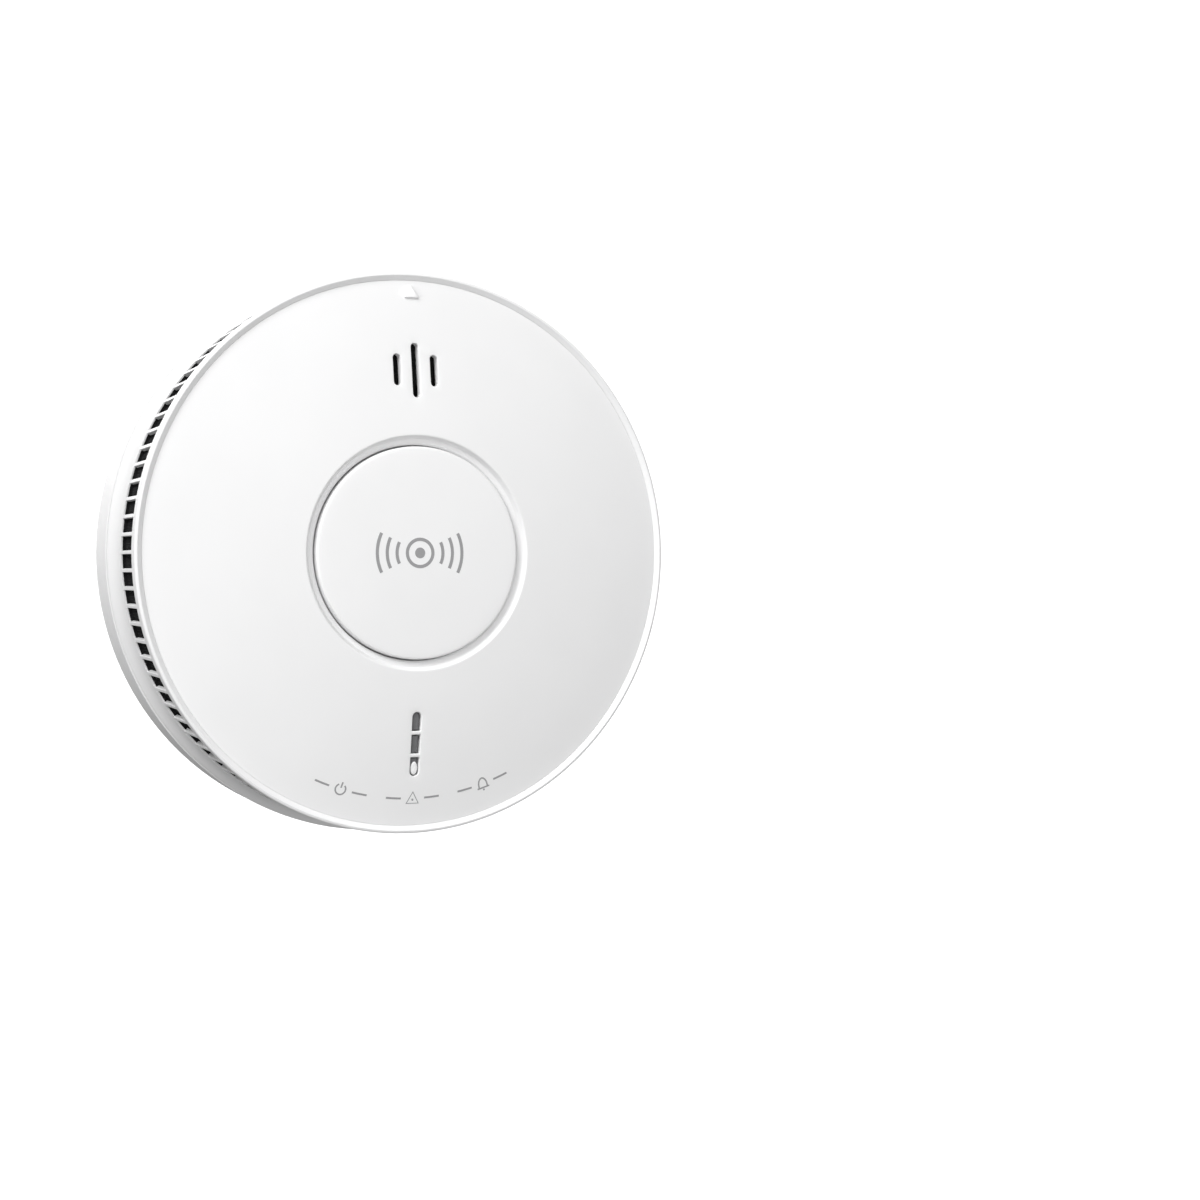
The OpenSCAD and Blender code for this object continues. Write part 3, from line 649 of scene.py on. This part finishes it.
def moat_and_well(shape):
    first, hole, collar = MOAT_EDGE_R, BUTTON_HOLE_R, COLLAR_R
    line = [Vector((first, dome_z(first)))]
    line += rounded([(first - 0.5, dome_z(first - 0.5), 0), (MOAT_R, dome_z(MOAT_R) + 0.02, 0.5),
                     (MOAT_R - 0.7, 35.1, 0.5), (hole + 0.4, 34.8, 0.2), (hole, 34.4, 0.3),
                     (hole, WELL_TOP, 0)], 6)
    lathe(shape, line, closed=False)
    line = rounded([(UNDER_R, dome_z(UNDER_R, SKIN), 0), (collar, dome_z(collar, SKIN) - 0.1, 0.3),
                    (collar, WELL_LOW, 0)])
    lathe(shape, line, closed=False)
    holes = well_holes()
    sheet(shape, circle((0, 0), hole, TURN), holes, [], lambda p: WELL_TOP)
    # the spring cups stand down from the floor, so below the floor their openings are cup-sized rings
    cups = [turned(circle((SPRING_CIRCLE, 0), 3.6, 32), 120 * i) for i in range(3)]
    sheet(shape, circle((0, 0), collar, TURN), holes[:4] + cups, [], lambda p: WELL_LOW)
    for h in holes[:4]:
        skirt(shape, [at(h, WELL_TOP), at(h, WELL_LOW)])
    for inner, outer in zip(holes[4:], cups):
        skirt(shape, [at(inner, WELL_TOP), at(inner, CUP_TOP)])
        skirt(shape, [at(outer, WELL_LOW), at(outer, CUP_LOW)])
        shape.add(at(inner, CUP_TOP), [list(range(len(inner)))])
        shape.add(at(outer, CUP_LOW), [list(range(len(outer)))])


def blind_tube(shape, centre, inner, outer, low, high, bottom):
    """An upright post under the face with a blind hole in its lower end, up to bottom."""
    steps = 48
    bore, skin = circle(centre, inner, steps), circle(centre, outer, steps)
    loops = [at(bore, bottom), at(bore, low), at(skin, low), at(skin, high)]
    ends = [list(range(steps)), [3 * steps + k for k in range(steps)]]
    return shape.add([p for loop in loops for p in loop], walls(steps, 3) + ends)


def front_cover():
    shape = Shape()
    face_shell(shape)
    moat_and_well(shape)
    obj = shape.object("front_cover_shell")
    within = lambda p: dome_z(p.length, 1.0)
    inner = Shape()
    board_top = span("circuit_board")[1].z + 0.05
    for i in range(4):
        c = turned([Vector((SCREW_CIRCLE, 0))], SCREW_TURN + 90 * i)[0]
        blind_tube(inner, c, 1.5, 3.2, board_top, within, 24.0)
    neck = Shape()
    bore, skin = circle(SOUND, 7.2, 64), circle(SOUND, 8.2, 64)
    neck_low = 27.2
    skirt(neck, [at(bore, within), at(bore, neck_low), at(skin, neck_low), at(skin, within),
                 at(bore, within)])
    posts = eased(inner.object("cover_posts"), 0.15)
    collar = eased(neck.object("cover_neck"), 0.15)
    finished(smooth(obj, 40), COVER_WHITE, "alarm", "white_housing", "front_cover")
    finished(smooth(posts), COVER_WHITE, "alarm", "white_housing")
    finished(smooth(collar), COVER_WHITE, "alarm", "white_housing")


# --- Vent ring ---

def rib_line(z, inset=0.0):
    """Radius of the vents' outer line at a height, less an inset."""
    return WAIST_R + (RIM_R - WAIST_R) * (z - VENT_LOW) / (VENT_HIGH + 0.4 - VENT_LOW) - inset


def vent_ring():
    """The rim and its comb of ribs, as one closed mesh made of two kinds of slice."""
    inner, bore = SEAT_R, FACE_R + 0.02
    seat, shelf = FACE_Z - 1.1, VENT_HIGH + 0.1
    rim = rounded([(rib_line(VENT_HIGH), VENT_HIGH, 0), (RIM_R, VENT_HIGH + 0.4, 0.3),
                   (RIM_R, FACE_Z + 0.42, 0.5), (RIM_R - 0.62, FACE_Z + 0.66, 0.28),
                   (bore, FACE_Z + 0.03, 0.05), (bore, seat, 0.05), (inner, seat, 0.1), (inner, shelf, 0.1),
                   (RIM_R - RIB_D, shelf, 0)], 6)
    foot = [Vector((WAIST_R - RIB_D, VENT_LOW + 0.05)), Vector((WAIST_R, VENT_LOW + 0.05))]
    whole = foot + rim
    opening = [0, 1, 2, len(whole) - 1]
    pitch = 2 * math.pi / RIB_COUNT
    rib = RIB_W / RIM_R
    stations = []
    for i in range(RIB_COUNT):
        mid = i * pitch
        stations += [(mid - rib / 2, "rib"), (mid + rib / 2, "gap"), (mid + pitch / 3, "gap"),
                     (mid + 2 * pitch / 3, "gap")]
    points = [(p.x * math.cos(a), p.x * math.sin(a), p.y) for a, _ in stations for p in whole]
    m, total = len(whole), len(stations)
    rib_loop, rim_loop = list(range(m)), list(range(2, m))
    faces = []
    for s, (_, kind) in enumerate(stations):
        n = (s + 1) % total
        loop = rib_loop if kind == "rib" else rim_loop
        for a, b in zip(loop, loop[1:] + loop[:1]):
            faces.append([s * m + a, s * m + b, n * m + b, n * m + a])
        if kind != stations[s - 1][1]:
            faces.append([s * m + k for k in opening])
    obj = Shape().add(points, faces).object("vent_ring_body")
    loose = bmesh.new()
    loose.from_mesh(obj.data)
    bmesh.ops.delete(loose, geom=[v for v in loose.verts if not v.link_faces], context="VERTS")
    loose.to_mesh(obj.data)
    loose.free()
    eased(obj, 0.09, 2, 50)
    smooth(obj, 50, weighted=True)
    finished(obj, COVER_WHITE, "alarm", "white_housing", "vent_ring")


def insect_screen():
    """A dark tapered sheet of mesh with its raised threads, close behind the vents, on a solid foot."""
    lo, hi = span("insect_screen")
    shape = Shape()
    at_r = lambda z, inset=0.0: rib_line(z, RIB_D + 0.05 + inset)
    foot_in, foot_out, back, far_back = LEDGE_R + 0.05, WAIST_R - 0.45, 0.16, 0.45
    lathe(shape, [(foot_in, lo.z), (foot_out, lo.z), (foot_out, VENT_LOW), (at_r(VENT_LOW, back), VENT_LOW),
                  (at_r(hi.z, back), hi.z), (at_r(hi.z, far_back), hi.z), (foot_in, VENT_LOW)])
    step, thread = 0.74, 0.09
    for i in range(int((hi.z - VENT_LOW) / step)):
        z = VENT_LOW + 0.35 + i * step
        lathe(shape, [(at_r(z, 0.22), z - thread), (at_r(z, 0.02), z), (at_r(z, 0.22), z + thread)])
    columns = 5 * RIB_COUNT
    for i in range(columns):
        a = 2 * math.pi * (i + 0.5) / columns
        points = [(at_r(z, inset) * math.cos(a + turn), at_r(z, inset) * math.sin(a + turn), z)
                  for z in (VENT_LOW + 0.02, hi.z - 0.05)
                  for inset, turn in ((0.2, -0.0016), (0.02, 0.0), (0.2, 0.0016))]
        shape.add(points, [[0, 1, 2], [5, 4, 3], [0, 3, 4, 1], [1, 4, 5, 2], [2, 5, 3, 0]])
    obj = smooth(shape.object("insect_screen_mesh"), 30)
    finished(obj, GAUZE, "alarm", "black_mesh", "insect_screen")


# --- Test button ---

def button_z(r):
    return BUTTON_TOP - 0.8 * (r / BUTTON_R) ** 2


def test_button():
    under, low = 34.8, WELL_TOP + 1.6
    shape = Shape()
    edge_r = BUTTON_R - 1.0
    line = [Vector((0, under)), Vector((BUTTON_R - 1.6, under)), Vector((BUTTON_R - 1.6, low)),
            Vector((BUTTON_R, low))]
    line += rounded([(BUTTON_R, low + 0.3, 0), (BUTTON_R, button_z(BUTTON_R) - 0.05, 0.9),
                     (edge_r, button_z(edge_r), 0)], 7)
    line += [Vector((edge_r * (1 - k / 14), button_z(edge_r * (1 - k / 14)))) for k in range(1, 14)]
    line += [Vector((0, BUTTON_TOP))]
    lathe(shape, line)
    obj = smooth(shape.object("test_button_cap"), 40)
    inner = Shape()
    barb_z = WELL_LOW - 0.3
    leg = [(-0.6, barb_z - 1), (0.9, barb_z - 1), (1.3, barb_z - 0.3), (1.3, barb_z), (0.6, barb_z),
           (0.6, under + 0.3), (-0.6, under + 0.3)]
    for i in range(3):
        fin(inner, [(LEG_CIRCLE + r, z) for r, z in leg], 4.0, 60 + 120 * i)
        pin = turned(circle((SPRING_CIRCLE, 0), 1.5, 32), 120 * i)
        prism(inner, pin, under - 1.8, under + 0.3)
    prism(inner, circle(SWITCH, 2.0, 40), span("test_switch_plunger")[1].z + 0.1, under + 0.3)
    legs = smooth(eased(inner.object("test_button_legs"), 0.08, 2), 40)
    finished(obj, BUTTON_WHITE, "button", "white_button", "test_button")
    finished(legs, BUTTON_WHITE, "button", "white_button")


def button_springs():
    """Three coil springs under the button."""
    lo, hi = span("button_springs")
    wire, coil, turns, per_turn, sides = 0.25, 2.3, 5, 28, 10
    steps = turns * per_turn
    shape = Shape()
    for c in (turned([Vector((SPRING_CIRCLE, 0))], 120 * i)[0] for i in range(3)):
        points, faces = [], []
        for i in range(steps + 1):
            a, rise = 2 * math.pi * i / per_turn, (hi.z - lo.z - 2 * wire) * i / steps
            for j in range(sides):
                b = 2 * math.pi * j / sides
                r = coil + wire * math.cos(b)
                points.append((c.x + r * math.cos(a), c.y + r * math.sin(a),
                               lo.z + wire + rise + wire * math.sin(b)))
        for i in range(steps):
            for j in range(sides):
                k = (j + 1) % sides
                faces.append([i * sides + j, i * sides + k, (i + 1) * sides + k, (i + 1) * sides + j])
        faces += [list(range(sides - 1, -1, -1)), [steps * sides + j for j in range(sides)]]
        shape.add(points, faces)
    obj = smooth(shape.object("button_spring_coils"), 60)
    finished(obj, STEEL, "alarm", "spring_steel", "button_springs")
    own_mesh(obj)


# --- Indicators ---

def indicators():
    guide, lens = Shape(), Shape()
    low = span("light_guide")[0].z
    for i in (-1, 0, 1):
        ends = (0.78 if i == 1 else 0.1, 0.78 if i == -1 else 0.1)
        centre = LAMP + Vector((0, i * LAMP_PITCH))
        loop = outline(centre, LAMP_W - 0.2, LAMP_L - 0.2, *ends)
        crown = [centre + Vector(((p.x - centre.x) * 0.3, (p.y - centre.y) * 0.85)) for p in loop]
        prism(guide, loop, low, lambda p: dome_z(p.length, 0.55), 0.5, crown)
    prism(guide, outline(LAMP, LAMP_W + 2.4, 3 * LAMP_PITCH + 1.6, 0.6, 0.6), 28.6, 29.8)
    middle = LAMP - Vector((0, LAMP_PITCH + 0.36))
    loop, small = ([middle + Vector((p.x * w, p.y * l)) for p in circle((0, 0), 1.0)]
                   for w, l in ((0.74, 1.42), (0.4, 1.0)))
    prism(lens, loop, lambda p: dome_z(p.length, 0.62), lambda p: dome_z(p.length, 0.14), 0.18, small)
    finished(smooth(guide.object("light_guide_bars"), 40), SMOKED, "alarm", "smoked_guide", "light_guide")
    finished(smooth(lens.object("indicator_lens_cap"), 50), LENS, "alarm", "white_lens", "indicator_lens")


# --- Printed marks: plain shapes only ---

def stroke(shape, line, w, height, closed=False):
    """A thin raised line of ink along a path, w wide."""
    n = len(line)
    left, right = [], []
    for i, p in enumerate(line):
        a = line[i - 1] if closed or i else p
        b = line[(i + 1) % n] if closed or i < n - 1 else p
        side = Vector((a.y - b.y, b.x - a.x)).normalized() * (w / 2)
        left.append(p + side)
        right.append(p - side)
    loops = [at(left, lambda q: height(q) - 0.1), at(left, lambda q: height(q) + 0.02),
             at(right, lambda q: height(q) + 0.02), at(right, lambda q: height(q) - 0.1)]
    points = [p for loop in loops for p in loop]
    last = n if closed else n - 1
    faces = [[i * n + k, i * n + (k + 1) % n, ((i + 1) % 4) * n + (k + 1) % n, ((i + 1) % 4) * n + k]
             for i in range(4) for k in range(last)]
    if not closed:
        faces += [[0, n, 2 * n, 3 * n], [n - 1, 2 * n - 1, 3 * n - 1, 4 * n - 1]]
    return shape.add(points, faces)


def spot(shape, centre, r, height):
    loop = circle(centre, r, 24)
    return prism(shape, loop, lambda p: height(p) - 0.1, lambda p: height(p) + 0.02)


def arc(centre, r, first, last, steps=16):
    return [centre + Vector((math.cos(math.radians(a)), math.sin(math.radians(a)))) * r
            for a in (first + (last - first) * k / steps for k in range(steps + 1))]


def printed_marks():
    legend, press = Shape(), Shape()
    on_dome = lambda p: dome_z(p.length)
    on_button = lambda p: button_z(p.length)
    circle_r = 52.6
    for place, icon in ((-18, "power"), (0, "fault"), (18, "alarm")):
        turn = math.radians(place)
        middle = Vector((circle_r * math.sin(turn), -circle_r * math.cos(turn)))
        put = lambda pts, m=middle, a=place: [m + q for q in turned([Vector(p) * 1.2 for p in pts], a)]
        if icon == "power":
            stroke(legend, put(arc(Vector((0, 0)), 0.95, 125, 415, 24)), 0.34, on_dome)
            stroke(legend, put([(0, 1.3), (0, 0.25)]), 0.34, on_dome)
        elif icon == "fault":
            stroke(legend, put([(-1.15, -0.9), (1.15, -0.9), (0, 1.15)]), 0.34, on_dome, closed=True)
            spot(legend, put([(0, -0.25)])[0], 0.24, on_dome)
        else:
            stroke(legend, put([(-1.2, -0.75), (1.2, -0.75)]), 0.34, on_dome)
            bell = [(-0.85, -0.75), (-0.8, 0.1), (-0.62, 0.62), (-0.3, 0.98), (0, 1.08), (0.3, 0.98),
                    (0.62, 0.62), (0.8, 0.1), (0.85, -0.75)]
            stroke(legend, put(bell), 0.34, on_dome)
            spot(legend, put([(0, -1.15)])[0], 0.22, on_dome)
        for side in (-1, 1):
            line = arc(Vector((0, 0)), circle_r, place - 90 + side * 2.9, place - 90 + side * 6.6, 8)
            stroke(legend, line, 0.42, on_dome)
    stroke(press, arc(Vector((0, 0)), 2.9, 0, 360, 48)[:-1], 0.7, on_button, closed=True)
    spot(press, Vector((0, 0)), 1.15, on_button)
    for side in (0, 180):
        for r in (5.2, 7.4, 9.6):
            stroke(press, arc(Vector((0, 0)), r, side - 26, side + 26, 20), 0.7, on_button)
    finished(smooth(legend.object("indicator_legend"), 40), INK, "alarm", "grey_plastic")
    finished(smooth(press.object("button_symbol"), 40), INK, "button", "grey_plastic")


# --- Rear housing ---

def bay_outline(grow=0.0):
    w, h = BAY_W / 2 + grow, BAY_H / 2 + grow
    corners = ((-w, -h), (w, -h), (w, h), (BAY_CUT - w, h), (-w, h - BAY_CUT))
    return [Vector((BAY.x + x, BAY.y + y)) for x, y in corners]


def rear_housing():
    shape = Shape()
    wall = 1.8
    floor, cup, flange = BACK_Z + wall, 56.4, BRACKET_H + 0.5
    bead = flange + 0.35                     # top of the rounded edge next to the bracket
    flare = [Vector((BAND_R - 0.02, bead))]
    rise = VENT_LOW - flange - 0.35
    for k in range(1, 13):
        t = k / 12
        flare.append(Vector((WAIST_R + (BAND_R - 0.02 - WAIST_R) * (1 - t) ** 2.1, bead + rise * t)))
    line = [Vector((0, BACK_Z))]
    line += rounded([(cup - 1.4, BACK_Z, 0), (cup, BACK_Z, 0.6), (cup, flange, 0.3),
                     (BAND_R - 0.35, flange, 0.2)])
    line += rounded([(BAND_R - 0.3, flange, 0), (BAND_R, flange, 0.28), (BAND_R - 0.02, bead, 0)])[1:-1]
    line += flare
    lip = WAIST_R - 0.4
    line += [Vector(p) for p in ((lip, VENT_LOW), (lip, LEDGE_Z), (LEDGE_R, LEDGE_Z),
                                 (LEDGE_R, flange + wall), (cup - wall, flange + wall),
                                 (cup - wall, floor), (0, floor))]
    lathe(shape, line)
    obj = shape.object("rear_housing_shell")
    solid = Shape()
    prism(solid, bay_outline(1.5), BACK_Z + 0.4, BACK_Z + 10.0)
    for i in range(4):
        post = turned(circle((SCREW_CIRCLE, 0), 3.6, 40), SCREW_TURN + 90 * i)
        prism(solid, post, BACK_Z + 0.4, 14.0)
    prism(solid, outline(SWITCH_BAY, 14, 9, 0.5, 0.5), floor - 0.5, floor + 1)
    for s in (-1, 1):
        prism(solid, outline((CELL_X, s * 14), 20, 3, 0.2, 0.2), floor - 0.5, 12.1)
        prism(solid, outline((CELL_X, s * 23.7), 6, 1.2, 0.2, 0.2), floor - 0.5, 10.1)
    prism(solid, circle((0, 46), 2.5, 32), floor - 0.5, 14.0)
    prism(solid, circle((-46, 0), 2.5, 32), floor - 0.5, 14.0)
    for i in range(4):
        a = HOOK_TURN + 90 * i
        wedge(solid, cup - 0.5, 58.3, 5, 7, a - 6, a + 6, 10)
    carve(obj, solid, "UNION")
    cut = Shape()
    prism(cut, bay_outline(), -1, BACK_Z + BAY_DEPTH)
    carve(obj, cut)
    cut = Shape()
    for i in range(4):
        prism(cut, turned(circle((SCREW_CIRCLE, 0), 3.0, 40), SCREW_TURN + 90 * i), -1, 9.0)
    for s in (-1, 1):
        prism(cut, outline((BAY.x, BAY.y + s * BAY_H / 2), 15, 5, 0.8, 0.8), -1, BACK_Z + 1)
    prism(cut, outline((-24.75, -13.2), 14, 6.4, 0.4, 0.4), BACK_Z + 7.8, 14)
    prism(cut, outline(SWITCH_BAY, 7, 4, 0.8, 0.8), -1, floor + 2)
    prism(cut, outline((0, 34), 43, 23, 1.5, 1.5), -1, BACK_Z + 0.3)
    carve(obj, cut)
    cut = Shape()
    for i in range(4):
        prism(cut, turned(circle((SCREW_CIRCLE, 0), 1.7, 32), SCREW_TURN + 90 * i), 8, 15)
    carve(obj, cut)
    cradle = Shape()
    n = 64
    points = [(CELL_X + CRADLE_R * math.cos(2 * math.pi * k / n), y,
               CELL_Z + CRADLE_R * math.sin(2 * math.pi * k / n))
              for y in (-CRADLE_L, CRADLE_L) for k in range(n)]
    cradle.add(points, walls(n, 1) + [list(range(n)), list(range(n, 2 * n))])
    carve(obj, cradle)
    flat_faces_joined(obj)
    eased(obj, 0.18, 2, 40)
    smooth(obj, 32, weighted=True)
    finished(obj, BODY_WHITE, "alarm", "white_housing", "rear_housing")


# --- Mounting bracket ---

def mounting_bracket():
    shape = Shape()
    plate, base_r, in_r = 2.0, BRACKET_R - 0.7, 59.0
    line = rounded([(22, 0, 0), (base_r, 0, 0.5), (BRACKET_R, BRACKET_H, 0.35), (in_r + 0.5, BRACKET_H, 0.3),
                    (in_r, 9.8, 0.3), (in_r, plate, 0.6), (22, plate, 0)], 5)
    lathe(shape, line)
    obj = shape.object("mounting_bracket_body")
    solid = Shape()
    for i in range(4):
        a = HOOK_TURN + 90 * i
        wedge(solid, 57.1, in_r + 0.4, 7.4, 9.2, a - 7, a + 7, 10)
        wedge(solid, 57.4, in_r + 0.3, plate - 0.5, 8.2, a - 9, a - 6.6, 3)
        wedge(solid, 57.4, in_r + 0.3, plate - 0.5, 7.4, a + 21.6, a + 24, 3)
    for s in (0, 180):
        for y in (-8, 8):
            prism(solid, turned(outline((48, y), 22, 1.2, 0.2, 0.2), 152 + s), plate - 0.5, plate + 0.8)
        prism(solid, turned(circle((51, 0), 1.2, 24), 45 + s), plate - 0.5, plate + 0.8)
    carve(obj, solid, "UNION")
    cut = Shape()
    for s in (-1, 1):
        slot = outline((s * SLOT_OFFSET, 0), 12, 4.2, 2.1, 2.1)
        sunk = outline((s * SLOT_OFFSET, 0), 15, 7.2, 3.6, 3.6)
        skirt(cut, [at(slot, -1), at(slot, 1.2), at(sunk, 1.2), at(sunk, 3)])
        cut.add(at(slot, -1), [list(range(len(slot)))])
        cut.add(at(sunk, 3), [list(range(len(sunk)))])
        prism(cut, circle((0, s * SLOT_OFFSET), 2.1, 40), -1, 3)
    for s in (0, 180):
        # a U-shaped slit leaves a spring finger free on three sides
        loop = [Vector(p) for p in ((41, 3), (52.5, 3), (52.5, -3), (41, -3),
                                    (41, -4), (53.5, -4), (53.5, 4), (41, 4))]
        prism(cut, turned(loop, 45 + s), -1, 3)
    carve(obj, cut)
    flat_faces_joined(obj)
    eased(obj, 0.18, 2, 40)
    smooth(obj, 32, weighted=True)
    finished(obj, BRACKET_WHITE, "bracket", "white_bracket", "mounting_bracket")


# --- Studio ---

def studio():
    scene = bpy.context.scene
    scene.view_settings.view_transform = "Standard"
    world = bpy.data.worlds.new("studio")
    scene.world = world
    world.use_nodes = True
    back = world.node_tree.nodes["Background"]
    back.inputs["Color"].default_value = (1, 1, 1, 1)
    back.inputs["Strength"].default_value = 0.25
    # a pale round sweep: floor, a wide curve, and a wall all round
    low, reach, bend, tall, steps = -1.6, 3.2, 1.4, 5.0, 96
    line = [(0.0, low), (reach - bend, low)]
    line += [(reach - bend + bend * math.sin(math.radians(a)), low + bend - bend * math.cos(math.radians(a)))
             for a in range(10, 91, 10)]
    line += [(reach, tall)]
    points, faces = [(0, 0, low)], []
    for r, z in line[1:]:
        points += [(r * math.cos(2 * math.pi * k / steps), r * math.sin(2 * math.pi * k / steps), z)
                   for k in range(steps)]
    for k in range(steps):
        n = (k + 1) % steps
        faces.append([0, 1 + k, 1 + n])
        for i in range(len(line) - 2):
            a, b = 1 + i * steps, 1 + (i + 1) * steps
            faces.append([a + k, b + k, b + n, a + n])
    mesh = bpy.data.meshes.new("sweep")
    mesh.from_pydata(points, [], faces)
    sweep = bpy.data.objects.new("sweep", mesh)
    scene.collection.objects.link(sweep)
    for p in mesh.polygons:
        p.use_smooth = True
    n = Nodes("pale_floor")
    tone = n.blend(n.noise(400.0, 2.0), (0.74, 0.74, 0.74), (0.77, 0.77, 0.77))
    height = n.new("SeparateXYZ")
    n.link(n.place, height.inputs[0])
    n.set(color=tone, rough=0.9, level=0.1, glow=(1.0, 1.0, 1.0),
          glow_strength=n.spread(height.outputs["Z"], 0.0, 0.5, -1.5, -0.9))
    mesh.materials.append(n.material)
    sweep.visible_diffuse = sweep.visible_glossy = sweep.visible_shadow = False
    for name, toward, strength, spread in (
            ("key", (-0.66, -0.37, 0.66), 2.9, 32), ("fill", (0.0, -1.0, 0.12), 1.42, 120),
            ("back", (0.25, 0.9, 0.36), 2.0, 60)):
        light = bpy.data.lights.new(name, "SUN")
        light.energy, light.angle = strength, math.radians(spread)
        lamp = bpy.data.objects.new(name, light)
        lamp.rotation_mode = "QUATERNION"
        lamp.rotation_quaternion = Vector(toward).to_track_quat("Z", "Y")
        scene.collection.objects.link(lamp)


def camera():
    data = bpy.data.cameras.new("camera")
    data.lens, data.sensor_width = 72.0, 36.0
    data.clip_start, data.clip_end = 0.01, 20
    cam = bpy.data.objects.new("camera", data)
    bpy.context.scene.collection.objects.link(cam)
    cam.location = Vector((-0.1829, -0.5148, -0.0052))
    yaw, pitch = math.radians(25.23), math.radians(-0.54)
    ahead = Vector((math.sin(yaw) * math.cos(pitch), math.cos(yaw) * math.cos(pitch), math.sin(pitch)))
    cam.rotation_mode = "QUATERNION"
    cam.rotation_quaternion = ahead.to_track_quat("-Z", "Y")
    bpy.context.scene.camera = cam


for node, material in CARRIED.items():
    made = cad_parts[node]
    made.data.materials.clear()
    made.data.materials.append(material)

camera()
studio()
front_cover()
vent_ring()
insect_screen()
test_button()
button_springs()
indicators()
printed_marks()
rear_housing()
mounting_bracket()
